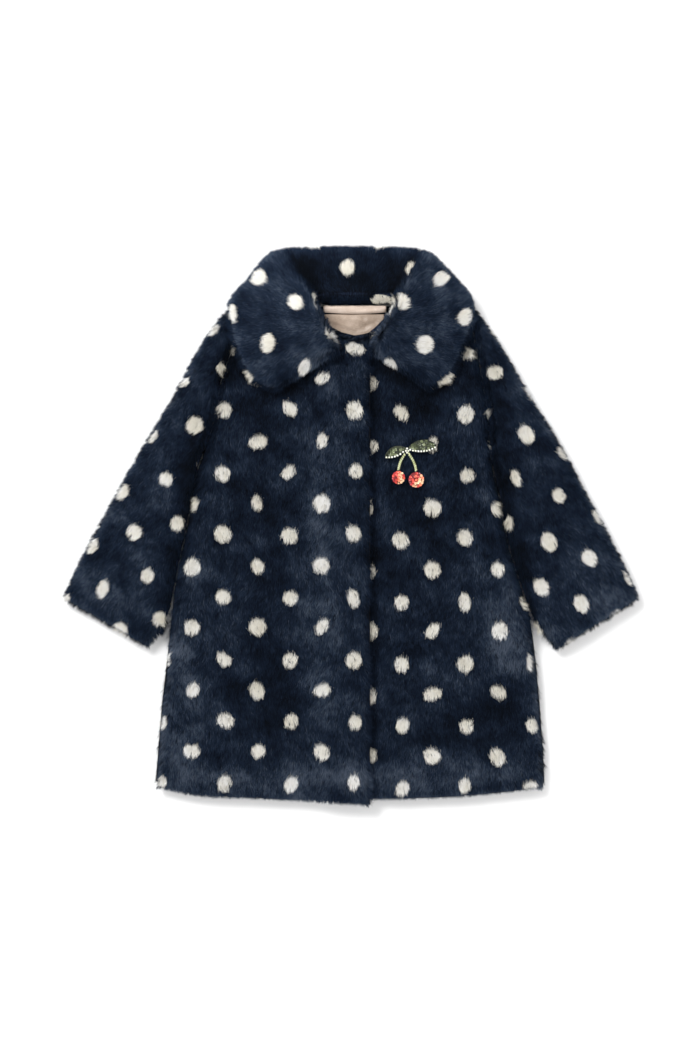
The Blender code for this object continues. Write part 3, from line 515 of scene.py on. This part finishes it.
# %% [markdown]
# What stands round a hair changes it. Against a neighbouring piece it stands up and fills the seam.
# In the hollow beside a higher piece it gets less light. Under the ornament it is pressed short. All
# three are read from the map of heights.
# %% What stands round a hair
HOLLOW_REACH = 11          # mm
HOLLOW_DEPTH = (3, 10)     # mm: the step that starts to shade, and how much more shades fully


def beside(places, normals):
    """How far, from 0 to 1, each place lies on an edge that another piece lies against."""
    near = height_at(places[:, :2] + outward_of(normals) * 9 * MM) > places[:, 2] - 6 * MM
    return near * np.clip(np.linalg.norm(normals[:, :2], axis=1) * 1.6, 0, 1)


def hollow(places):
    """How far, from 0 to 1, each place is shut in by higher cloth round it."""
    start, full = HOLLOW_DEPTH
    total = np.zeros(len(places))
    for angle in np.arange(0, 2 * math.pi, math.pi / 4):
        near = places[:, :2] + np.array((math.cos(angle), math.sin(angle))) * HOLLOW_REACH * MM
        total += np.clip((height_at(near) - places[:, 2] - start * MM) / (full * MM), 0, 1) / 8
    return total


def under_ornament(places):
    """Which places lie under the ornament, whose weight presses the pile."""
    return (np.hypot(places[:, 0] - ORNAMENT[0], places[:, 1] - ORNAMENT[1]) < ORNAMENT[2]) & (
        height_at(places) > places[:, 2] + 0.2 * MM
    )


# %% [markdown]
# Hairs stand on the backing, 6.5 mm below the solid's surface, and lean 46 degrees down the nap, so
# that tips end at the surface. Each tuft swings its hairs a little to one side and lays them more or
# less flat, and every hair adds its own bit. Along an edge some tufts reach out past the surface,
# which makes the coat's ragged outline.
# %% How hairs lean and how long they are
PILE_DEPTH = 6.5 * MM
HAIR_LENGTH = 9.5 * MM     # a hair has 0.8 to 1.12 of it
LEAN = math.radians(46)
PRESSED = 0.55             # the share of its length that a pressed hair or a fringe hair has


def hair_ways(random, places, ups, filled, raised, nap, tuft_numbers, seed):
    """The way each hair points, from its root to its tip."""
    wide_tuft, small_tuft = tuft_numbers
    count = len(places)
    swerve = 0.35 * (wide_tuft[:, 2] - 0.5) + 0.5 * (small_tuft[:, 2] - 0.5)
    swerve += random.normal(0, 0.22, count) + 0.15 * waves(places, 30 * MM, seed + 3)
    tilt = LEAN + 0.2 * (wide_tuft[:, 3] - 0.5) + 0.3 * (small_tuft[:, 3] - 0.5)
    tilt += random.normal(0, 0.12, count)
    side = np.cross(raised, nap)
    flat = nap * np.cos(swerve)[:, None] + side * np.sin(swerve)[:, None]
    flat[:, :2] += ups[:, :2] * (0.7 * filled * wide_tuft[:, 2])[:, None]
    flat = unit(flat)
    return unit(raised * np.cos(tilt)[:, None] + flat * np.sin(tilt)[:, None])


def hair_lengths(random, name, places, ups, filled, way, seed):
    """Each hair's length in metres."""
    count = len(places)
    rise = np.maximum((way * ups).sum(axis=1), 0.2)
    edge = np.linalg.norm(ups[:, :2], axis=1)
    edge_tuft = tufts(places, 6.5 * MM, seed + 4)[1][:, 3]
    ragged = edge * (edge_tuft**2 * 1.3 + 0.35 * random.random(count) - 0.3)
    length = HAIR_LENGTH * random.uniform(0.8, 1.12, count) * (1 + 0.45 * filled)
    length = np.minimum(length, PILE_DEPTH * (1.2 + 0.8 * filled + 0.6 * ragged) / rise)
    return length * np.where(under_ornament(places) | on_fringe(name, places), PRESSED, 1.0)


# %% [markdown]
# A hair takes its colour from the print under the part of it that is seen, near its tip. Then it turns
# a little lighter or darker: with the painted patches of light and shade, with its tuft, with painted
# light where it stands on an open edge, and with painted shade where it fills a seam or lies in a
# hollow. Rendering alone wouldn't show these, because light comes through real pile from all sides, and
# the blades only stand for it.
# %% The shade of each hair
TIP_SHARE = 0.72           # how far along a hair the part lies that is seen
BASE_SHADE = 0.34          # navy
CREAM_SHADE = 0.86
EDGE_SHADE = 0.20          # tips over an edge catch the light
HOLLOW_SHADE = 0.35        # and hairs in a hollow miss it


def hair_shades(random, name, places, ups, filled, shown, tuft_numbers):
    """Each hair's place on the colour ramps, from 0 to 1."""
    wide_tuft, small_tuft = tuft_numbers
    count = len(places)
    edge = np.linalg.norm(ups[:, :2], axis=1)
    dotted = grain_of(name, unrolled(shown, ups) + random.normal(0, 0.7 * MM, (count, 3)))
    # Painted light and shade: the listed patches, the collar's wings and stand, open edges (light),
    # seams and hollows (shade). The tuft numbers and the last random bit are uneven tone.
    change = painted_light_and_tone(shown) + (collar_shade(shown) if name == "collar" else 0.0)
    change += EDGE_SHADE * edge**2 * (1 - filled) - 0.05 * filled
    change += 0.05 * (wide_tuft[:, 3] - 0.5) + 0.11 * (small_tuft[:, 3] - 0.5)
    change += random.normal(0, 0.075, count) - HOLLOW_SHADE * hollow(places)
    navy = np.clip(BASE_SHADE + change, 0.02, 0.58)
    cream = np.clip(CREAM_SHADE + 0.6 * change, 0.68, 0.99)
    return np.where(dotted, cream, navy)


# %% [markdown]
# A hair is one pointed triangle, the fewest faces that still end in a tip. It is 0.5 to 0.9 mm wide
# at its root, coarser than a real one, so that a panel is full with fewer hairs. Its normals are
# softened towards the cloth's own, because a tuft is lit as one soft form and not as loose chips.
# %% Blades
HAIR_WIDTH = (0.5 * MM, 0.9 * MM)


def hair_blades(random, root, tip, way, raised):
    """Three corners for each hair, and one softened normal."""
    count = len(root)
    width = random.uniform(*HAIR_WIDTH, count)
    turn = random.normal(0, 0.55, count)
    broad = unit(np.cross(way, raised))
    broad = unit(broad * np.cos(turn)[:, None] + np.cross(way, broad) * np.sin(turn)[:, None])
    half = broad * (width / 2)[:, None]
    blades = np.stack((root - half, root + half, tip), axis=1)
    facing = unit(np.cross(blades[:, 1] - blades[:, 0], blades[:, 2] - blades[:, 0]))
    facing *= np.sign((facing * raised).sum(axis=1, keepdims=True) + 1e-9)
    return blades, unit(raised * 0.75 + facing * 0.2 + way * 0.3)


def blade_mesh(name, blades, shade, soft):
    """A mesh object of loose triangles with their shades and softened normals."""
    count = len(blades)
    uv = np.zeros((count, 3, 2))
    uv[:, :, 0] = shade[:, None] + np.array((-0.004, 0.004, 0.0))
    uv[:, :, 1] = (0.02, 0.02, 0.98)
    mesh = bpy.data.meshes.new(name)
    mesh.vertices.add(count * 3)
    mesh.vertices.foreach_set("co", blades.ravel())
    mesh.loops.add(count * 3)
    mesh.loops.foreach_set("vertex_index", np.arange(count * 3, dtype=np.int32))
    mesh.polygons.add(count)
    mesh.polygons.foreach_set("loop_start", np.arange(0, count * 3, 3, dtype=np.int32))
    mesh.polygons.foreach_set("use_smooth", np.ones(count, dtype=bool))
    mesh.uv_layers.new(name="OFBake").data.foreach_set("uv", uv.ravel())
    mesh.update(calc_edges=True)
    mesh.normals_split_custom_set_from_vertices(np.repeat(soft, 3, axis=0))
    mesh.materials.append(acrylic_pile)
    made = bpy.data.objects.new(name, mesh)
    bpy.context.collection.objects.link(made)
    return made


# %% [markdown]
# Now a panel can grow its pile. Every hair is sown, leaned, cut to length, pulled towards its tuft's
# middle at the tip, shaded and made into a blade.
# %% Growing pile
WIDE_TUFT = 12 * MM
SMALL_TUFT = 4.0 * MM
TUFT_PULL = 0.34           # how far tips move towards the middle of their tuft
LOWEST_ROOT = 1.0 * MM
LOWEST_TIP = 0.4 * MM


def grow(name, count, seed):
    """The pile of one panel, as one mesh of pointed blades."""
    count = count
    random = np.random.default_rng(seed)
    places, ups = scatter(name, count, seed)
    filled = beside(places, ups)
    raised = unit(ups + filled[:, None] * np.array((0, 0, 1.2)))
    nap = nap_of(name, places)
    nap = unit(nap - raised * (nap * raised).sum(axis=1, keepdims=True))

    warped = places + 4 * MM * waves(places, 9 * MM, 3)[:, None]
    wide_tuft = tufts(warped, WIDE_TUFT, seed + 1)[1]
    small_middle, small_tuft = tufts(places, SMALL_TUFT, seed + 2)
    tuft_numbers = wide_tuft, small_tuft
    way = hair_ways(random, places, ups, filled, raised, nap, tuft_numbers, seed)
    length = hair_lengths(random, name, places, ups, filled, way, seed)

    root = places - ups * PILE_DEPTH
    root[:, 2] = np.maximum(root[:, 2], LOWEST_ROOT)
    tip = root + way * length[:, None]
    pull = TUFT_PULL * random.uniform(0.5, 1.0, count)[:, None]
    tip[:, :2] += (small_middle - places[:, :2]) * pull
    tip[:, 2] = np.maximum(tip[:, 2], LOWEST_TIP)

    shown = root + TIP_SHARE * (tip - root)
    shade = hair_shades(random, name, places, ups, filled, shown, tuft_numbers)
    blades, soft = hair_blades(random, root, tip, way, raised)
    return blade_mesh(name + "_pile", blades, shade, soft)


# %% [markdown]
# The backing follows the solid's own mesh. It is moved in by the pile's depth where pile grows, and
# hardly at all on the underside and inside a sleeve, where the cloth lies bare. A shrunken copy would
# turn inside out at thin edges, so each point looks for the wall behind it before it moves.
# %% Backing cloth
BARE_DEPTH = 1.0 * MM      # inside a sleeve
UNDERSIDE_DEPTH = 0.8      # mm
LOWEST_CLOTH = 0.5 * MM
INSIDE_GAP = 6 * MM        # a wall that faces another one this near is the inside of a sleeve


def make_backing(name):
    """The panel's cloth under its pile."""
    points, triangles, normals = read_solid(name)
    tree = BVHTree.FromPolygons(points.tolist(), triangles.tolist())
    moved = points.copy()
    against = beside(points, normals)
    for i, (point, normal) in enumerate(zip(points, normals)):
        start = Vector(point) + Vector(normal) * 0.2 * MM
        facing_wall = tree.ray_cast(start, Vector(normal), INSIDE_GAP)[0] is not None
        through = tree.ray_cast(Vector(point) - Vector(normal) * 0.2 * MM, -Vector(normal))[3]
        depth = BARE_DEPTH if facing_wall else PILE_DEPTH
        depth = min(depth, 0.6 * through) if through else depth
        level = np.linalg.norm(normal[:2])
        if level > 0.2:
            sideways = depth * min(1.0, 1.5 * level) * (1 - 0.8 * against[i])
            moved[i, :2] -= normal[:2] / level * sideways
        moved[i, 2] -= depth * normal[2] if normal[2] > 0 else UNDERSIDE_DEPTH * MM * normal[2]
    moved[:, 2] = np.maximum(moved[:, 2], LOWEST_CLOTH)
    mesh = bpy.data.meshes.new(name + "_cloth")
    mesh.from_pydata(moved.tolist(), [], triangles.tolist())
    mesh.polygons.foreach_set("use_smooth", np.ones(len(mesh.polygons), dtype=bool))
    mesh.materials.append(knitted_backing)
    made = bpy.data.objects.new(name + "_cloth", mesh)
    print(name, "cloth, half its surface:", sum(face.area for face in mesh.polygons) / 2)
    bpy.context.collection.objects.link(made)
    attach(made, "root")
    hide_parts(name)
    return made


# %% [markdown]
# Each panel gets its cloth and its pile. The number of hairs follows the area that shows, between three
# and four on every square millimetre seen from above. Cloth and pile are one sheet of fur.
# %% The fur panels
HAIRS = {
    "back": 45000, "front_right": 190000, "front_left": 170000,
    "sleeve_right": 100000, "sleeve_left": 100000, "collar": 150000,
}
for number, (name, hairs) in enumerate(HAIRS.items()):
    cloth = make_backing(name)
    pile = grow(name, hairs, 100 + 10 * number)
    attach(pile, "root")
    print(name, "hairs:", len(pile.data.polygons))
print("hairs to a square millimetre:", sum(HAIRS.values()) * MM**2 / shown_area)


# %% [markdown]
# Inside the neck the lining and its facing band are polyester satin. Its warp threads lie on top, so it
# is smooth, and its gleam is drawn out along them. The threads are drawn 0.3 mm apart, about three
# times as coarse as real ones, so that they show. Band and lining are one satin in two copies: the
# lining's copy is painted darker, as the shade it lies in down inside the neck.
# %% Satin materials: woven polyester, with a soft gleam and a fine grain
THREADS_PER_METRE = (500.0, 3300.0, 500.0)
CLOUDS_PER_METRE = 55.0    # soft uneven places about 18 mm wide


def satin(name, stops):
    """A satin whose threads and soft clouds run through the given colours."""
    material, output = new_material(name)
    place = add(material, "TexCoord").outputs["Object"]
    threads = add(material, "Mapping", {"Vector": place, "Scale": THREADS_PER_METRE})
    weave = add(material, "TexNoise", {
        "Vector": threads.outputs["Vector"], "Scale": 1.0, "Detail": 2.0})
    clouds = add(material, "TexNoise", {"Vector": place, "Scale": CLOUDS_PER_METRE, "Detail": 2.0})
    mixed = add(material, "Math", {0: weave.outputs["Fac"], 1: clouds.outputs["Fac"]}, operation="ADD")
    shade = add(material, "MapRange", {
        "Value": mixed.outputs["Value"], "From Min": 0.7, "From Max": 1.3})
    raised = add(material, "Bump", {
        "Height": weave.outputs["Fac"], "Strength": 0.25, "Distance": 0.0002})
    return finish_material(
        material, output, Base_Color=ramp(material, shade.outputs["Result"], stops), Roughness=0.38,
        Normal=raised.outputs["Normal"], Specular_IOR_Level=0.4, Anisotropic=0.5,
        Sheen_Weight=0.15, Sheen_Roughness=0.3, Sheen_Tint=linear("#f3e2d3"),
    )


# The lining's stops are painted shade: the band's satin made darker for the shade inside the neck.
shaded_lining_satin = satin("woven_satin_lining_painted_shade", ((0.0, "#8a7768"), (0.5, "#a3907f"), (1.0, "#bba898")))
band_satin = satin("woven_satin_band", ((0.0, "#c6b09f"), (0.5, "#d3bfaf"), (1.0, "#e2d0c2")))

# %% [markdown]
# A lining is cut a little full, so it lies in shallow ripples. Cloth simulation would find its own,
# but only these few show, so each is a soft ridge or valley along a line, pressed into a finer mesh
# of the solid's own form.
# %% Lining and neck band
RIPPLES = {  # x0, y0, x1, y1, half width and height in mm of each crease
    "lining": (
        (-24, 214, 6, 203, 1.6, -1.1), (-20, 221, 26, 213, 3.0, 1.0), (-28, 208, 4, 198, 2.4, 1.0),
        (4, 204, 30, 217, 2.6, -0.9), (12, 221, 16, 206, 2.2, -0.8), (-8, 220, -2, 206, 2.6, 0.7),
    ),
    "neck_band": (
        (-24, 229, 6, 231, 1.8, 0.8), (2, 227, 36, 229, 1.6, -0.8), (28, 231, 40, 228, 1.4, 0.7),
    ),
}


def crease(x, y, row):
    """The height that one crease adds at (x, y), all in mm."""
    x0, y0, x1, y1, half, height = row
    length = math.hypot(x1 - x0, y1 - y0)
    along = ((x - x0) * (x1 - x0) + (y - y0) * (y1 - y0)) / length**2
    across = abs((x - x0) * (y1 - y0) - (y - y0) * (x1 - x0)) / length
    fade = max(0.0, 1 - (2 * along - 1) ** 4) if 0 < along < 1 else 0.0
    return height * fade * math.exp(-((across / half) ** 2))


def soft_cloth(name, title, material):
    """The form of a CAD node in finer mesh, with its creases, as a sheet of satin."""
    points, triangles, _ = read_solid(name)
    shape = bmesh.new()
    corners = [shape.verts.new(point) for point in points]
    for triangle in triangles:
        shape.faces.new([corners[i] for i in triangle])
    bmesh.ops.subdivide_edges(shape, edges=shape.edges[:], cuts=2, use_grid_fill=True)
    shape.normal_update()
    for vertex in shape.verts:
        x, y = vertex.co.x / MM, vertex.co.y / MM
        rise = sum(crease(x, y, row) for row in RIPPLES[name])
        vertex.co.z += rise * MM * max(0.0, vertex.normal.z)
    mesh = bpy.data.meshes.new(title)
    shape.to_mesh(mesh)
    shape.free()
    mesh.polygons.foreach_set("use_smooth", np.ones(len(mesh.polygons), dtype=bool))
    mesh.materials.append(material)
    made = bpy.data.objects.new(title, mesh)
    bpy.context.collection.objects.link(made)
    print(title, "half its surface:", sum(face.area for face in mesh.polygons) / 2)
    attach(made, "root")
    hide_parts(name)
    return made


lining = soft_cloth("lining", "satin_lining", shaded_lining_satin)
band = soft_cloth("neck_band", "satin_band", band_satin)


# %% [markdown]
# The ornament is sewn by hand on felt. Its sequins are punched from metal-coated film and pressed to a
# cup, so they glint. Its beads are moulded and pearly, with a clear coat. The felt is pressed wool,
# dull and dark, and draws a line round each shape. Each sequin's or bead's shade is kept in its UV map,
# so one material gives every one of them a colour of its own. On the film sequins that shade holds
# painted reflection: each is painted dark or bright as if it caught the light at its own angle.
# %% Ornament materials: pressed film, pearly beads and felt
FLUFF_PER_METRE = 2200.0   # felt's tufts are about half a millimetre wide


def shiny(name, stops, roughness, metallic, coat):
    """A material whose colour is read from the shade kept in each sequin's or bead's UV map."""
    material, output = new_material(name)
    own = add(material, "UVMap", uv_map="OFBake").outputs["UV"]
    shade = add(material, "SeparateXYZ", {"Vector": own}).outputs["X"]
    return finish_material(
        material, output, Base_Color=ramp(material, shade, stops), Roughness=roughness,
        Metallic=metallic, Coat_Weight=coat, Coat_Roughness=0.08,
    )


def felt(name, stops):
    """Pressed wool: dull, with a little fluff that catches light at its edges."""
    material, output = new_material(name)
    fluff = add(material, "TexNoise", {"Scale": FLUFF_PER_METRE, "Detail": 3.0})
    return finish_material(
        material, output, Roughness=0.95, Sheen_Weight=0.3,
        Base_Color=ramp(material, fluff.outputs["Fac"], stops),
    )


green_film = shiny("pressed_film_green", (
    (0.0, "#161c10"), (0.4, "#444d30"), (0.75, "#7d8660"), (1.0, "#c9cfab"),
), 0.28, 0.45, 0.5)
red_film = shiny("pressed_film_red", (
    (0.0, "#6d0a14"), (0.3, "#c01f2a"), (0.55, "#ea5341"), (0.8, "#fb9068"), (1.0, "#ffd3a8"),
), 0.3, 0.15, 0.4)
pearl = shiny("moulded_pearl_beads", (
    (0.0, "#a3aa74"), (0.4, "#cfd4a6"), (0.6, "#e6e8d2"), (1.0, "#fdfdf6"),
), 0.18, 0.0, 0.6)
dark_felt = felt("pressed_wool_felt_dark", ((0.3, "#10160d"), (0.7, "#232b18")))
red_felt = felt("pressed_wool_felt_red", ((0.3, "#5c0d10"), (0.7, "#8f1a18")))

# %% [markdown]
# Every sequin sits at its own slight angle, so that some flash and some go dark. One could be copied
# as an instance, but the library wants plain faces, so each shape's sequins are built into one mesh:
# a cupped ring with ten sides and a hole in its middle. A bead is a small round ball.
# %% Sequins and beads
SEQUIN_RADIUS = 1.5        # mm
SEQUIN_RINGS = ((0.22, -0.18), (0.7, -0.05), (1.0, 0.12))    # share of the radius, and height in mm
SEQUIN_SIDES = 10
BEAD_RADIUS = 1.1          # mm
LIFT = 0.45 * MM           # how far the middle of a sequin or bead lies above the felt
jitter = np.random.default_rng(41)


def bead(shape, where, radius):
    """Adds one bead to a mesh under construction, and returns its faces."""
    made = bmesh.ops.create_icosphere(shape, subdivisions=2, radius=radius * MM, matrix=where)
    return {face for vertex in made["verts"] for face in vertex.link_faces}


def sequin(shape, where, radius):
    """Adds one sequin to a mesh under construction, and returns its faces."""
    rings, faces = [], []
    for share, height in SEQUIN_RINGS:
        rings.append([
            shape.verts.new(where @ Vector((
                math.cos(k * math.pi / 5) * share * radius * MM,
                math.sin(k * math.pi / 5) * share * radius * MM, height * MM,
            ))) for k in range(SEQUIN_SIDES)
        ])
    for inner, outer in zip(rings, rings[1:]):
        for k in range(SEQUIN_SIDES):
            after = (k + 1) % SEQUIN_SIDES
            faces.append(shape.faces.new((inner[k], outer[k], outer[after], inner[after])))
    return faces


def jewels(name, found, radius, material, make_one, shades):
    """Sequins, or beads, at the found places, as one mesh that rides on the coat."""
    shape = bmesh.new()
    uv = shape.loops.layers.uv.new("OFBake")
    for (place, normal), shade in zip(found, shades):
        up = Vector(normal * 0.5 + (0, 0, 0.5)) + Vector(jitter.normal(0, 0.2, 3))
        turn = up.normalized().to_track_quat("Z", "Y").to_matrix().to_4x4()
        where = Matrix.Translation(Vector(place + np.array((0, 0, LIFT)))) @ turn
        for face in make_one(shape, where, radius):
            face.smooth = True
            for k, loop in enumerate(face.loops):
                loop[uv].uv = (min(0.99, max(0.01, shade + 0.006 * (k % 2))), 0.3 + 0.1 * k)
    mesh = bpy.data.meshes.new(name)
    shape.to_mesh(mesh)
    shape.free()
    mesh.materials.append(material)
    made = bpy.data.objects.new(name, mesh)
    bpy.context.collection.objects.link(made)
    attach(made, "root")
    print(name, len(found))
    return made


# %% [markdown]
# Sequins and beads are laid out from the size of each shape: rays cast down on it give the height
# under each one, and where a row starts and ends.
# %% Finding places on a shape
def laid_on(name, spots):
    """The places and normals where spots, in mm, meet the top of a node. Spots beside it drop out."""
    tree = tree_of([name])
    found = []
    for x, y in spots:
        place, normal, _, _ = tree.ray_cast(Vector((x * MM, y * MM, 1.0)), Vector((0, 0, -1)))
        if place:
            found.append((np.array(place), np.array(normal)))
    return found


def extent(name, level, upright):
    """Where a line over a node, at one x (upright) or one y, meets and leaves its top, in mm."""
    box_low, box_high = (np.array(corner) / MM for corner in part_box(name))
    axis = 1 if upright else 0
    line = np.arange(box_low[axis], box_high[axis], 0.2)
    spots = [(level, step) if upright else (step, level) for step in line]
    met = [place[axis] / MM for place, _ in laid_on(name, spots)]
    return (min(met), max(met)) if met else None


# %% [markdown]
# A leaf is covered in rows of sequins across its length, each row half a step off the next, with a
# row of pearls along its lower edge. A little felt stays bare all round and draws a dark line. A knot
# of pearls lies where leaves and stems meet.
# %% Leaves
ROW_GAP = 2.4              # mm between sequins
PEARL_GAP = 2.9            # mm between pearls
KNOT = ((57.6, 78.2), (60.0, 78.2), (58.8, 80.6), (58.8, 76.2))    # mm
for name in ("leaf_right", "leaf_left"):
    left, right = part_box(name)[0][0] / MM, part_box(name)[1][0] / MM
    rows, pearls = [], []
    for number, x in enumerate(np.arange(left + 1.6, right - 0.8, ROW_GAP)):
        span = extent(name, x, True)
        if span is None:
            continue
        start = span[0] + 2.8 + ROW_GAP / 2 * (number % 2)
        rows.extend((x, y) for y in np.arange(start, span[1] - ROW_GAP / 2, ROW_GAP))
    for x in np.arange(left + 1.6, right - 0.8, PEARL_GAP):
        span = extent(name, x, True)
        if span:
            pearls.append((x, span[0] + 0.9))
    found = laid_on(name, rows)
    # Painted reflection: each sequin dark or bright as if it caught the light at its own angle.
    light = np.clip(jitter.beta(1.6, 2.4, len(found)), 0, 1)
    sequins = jewels(name + "_sequins", found, SEQUIN_RADIUS, green_film, sequin, light)
    found = [(place + (0, 0, 0.5 * MM), normal) for place, normal in laid_on(name, pearls)]
    if name == "leaf_right":
        level = found[-1][0][2]
        found += [(np.array((x * MM, y * MM, level)), np.array((0, 0, 1.0))) for x, y in KNOT]
    light = 0.6 + 0.4 * jitter.random(len(found))
    beads = jewels(name + "_pearls", found, BEAD_RADIUS, pearl, bead, light)
    nodes[name].material_slots[0].material = dark_felt

# %% [markdown]
# A cherry is sewn in rings from its rim to its middle, red at the upper left and pale orange at the
# lower right, as if light fell through it. A stem is a double row of small beads.
# %% Cherries and stems
CHERRIES = {"cherry_right": (49.8, 50.2, 6.8), "cherry_left": (68.4, 47.8, 8.2)}    # middle, radius
RING_SHARES = (0.82, 0.45, 0.0)    # of the radius
RING_GAP = 2.6             # mm between sequins along a ring
STEM_BEAD_RADIUS = 0.95    # mm
STEM_BEAD_GAP = 1.0        # mm, along the stem
for name, (x, y, radius) in CHERRIES.items():
    rings = []
    for share in RING_SHARES:
        count = max(1, round(2 * math.pi * radius * share / RING_GAP))
        for k in range(count):
            turn = 2 * math.pi * (k + share) / count
            rings.append((x + radius * share * math.cos(turn), y + radius * share * math.sin(turn)))
    found = laid_on(name, rings)
    light = []
    for place, _ in found:
        slope = (place[0] / MM - x - place[1] / MM + y) / radius / 2.6
        # The jitter is painted reflection, each sequin dark or bright as if it caught the light at its
        # own angle.
        light.append(np.clip(0.6 + slope + jitter.normal(0, 0.3), 0, 1))
    sequins = jewels(name + "_sequins", found, SEQUIN_RADIUS, red_film, sequin, light)
    nodes[name].material_slots[0].material = red_felt

    stem = name.replace("cherry", "stem")
    low_end, high_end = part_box(stem)[0][1] / MM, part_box(stem)[1][1] / MM
    row = []
    for number, y in enumerate(np.arange(low_end + 0.8, high_end, STEM_BEAD_GAP)):
        span = extent(stem, y, False)
        if span:
            row.append(((span[0] + span[1]) / 2 + (0.55 if number % 2 else -0.55), y))
    found = laid_on(stem, row)
    light = 0.5 * jitter.random(len(found))
    beads = jewels(stem + "_beads", found, STEM_BEAD_RADIUS, pearl, bead, light)
    nodes[stem].material_slots[0].material = dark_felt

# %% [markdown]
# The camera looks straight down from 3 m, as the photograph was taken, with the coat in its middle.
# A long lens keeps the collar from looking nearer than the hem. The lens follows from the height of
# the view on the coat, so both stay in proportion when one is changed.
# %% Camera
VIEW_MIDDLE = (-1.05 * MM, 0.5 * MM)
CAMERA_HEIGHT = 3.02
COAT_LEVEL = 0.02          # the height on the coat at which the view is measured
VIEW_HEIGHT = 1.1025
SENSOR = 36                # mm
camera = bpy.data.objects.new("camera", bpy.data.cameras.new("camera"))
camera.location = (*VIEW_MIDDLE, CAMERA_HEIGHT)
camera.data.lens = SENSOR * (CAMERA_HEIGHT - COAT_LEVEL) / VIEW_HEIGHT
bpy.context.collection.objects.link(camera)
bpy.context.scene.camera = camera
print("lens in mm:", camera.data.lens)

# %% [markdown]
# The floor is matt white board, wide enough to fill the view from every side. A trace of unevenness
# keeps it from being one flat colour.
# %% Floor
white_board, output = new_material("matt_white_board")
grain = add(white_board, "TexNoise", {"Scale": 3.0, "Detail": 2.0})
finish_material(
    white_board, output, Roughness=0.9, Specular_IOR_Level=0.1,
    Base_Color=ramp(white_board, grain.outputs["Fac"], ((0.3, "#fbfbfb"), (0.7, "#fdfdfd"))),
)
bpy.ops.mesh.primitive_plane_add(size=14.0, location=(0, 0, -0.0005))
floor = bpy.context.object
floor.name = "floor"
floor.data.materials.append(white_board)


# %% [markdown]
# The light is a studio's: one lamp high at the upper left that gives the pile its form, a wide weak
# one opposite, and a bright white room all round, which leaves only soft shadows on the floor. The
# Standard view keeps the dark navy and the white floor as they are written.
# %% Lights
def lamp(name, place, size, power, target=(0.0, 0.0, 0.0)):
    """A square area light that looks at the target."""
    made = bpy.data.objects.new(name, bpy.data.lights.new(name, "AREA"))
    made.data.size = size
    made.data.energy = power
    made.location = place
    made.rotation_euler = (Vector(target) - Vector(place)).to_track_quat("-Z", "Y").to_euler()
    bpy.context.collection.objects.link(made)


lamp("key", (-1.3, 1.6, 2.6), 1.2, 84.0)
lamp("fill", (1.8, -1.2, 2.6), 2.5, 22.0)
room = bpy.data.worlds.new("studio")
room.use_nodes = True
room.node_tree.nodes["Background"].inputs["Color"].default_value = linear("#ffffff")
room.node_tree.nodes["Background"].inputs["Strength"].default_value = 0.8
bpy.context.scene.world = room
bpy.context.scene.view_settings.view_transform = "Standard"
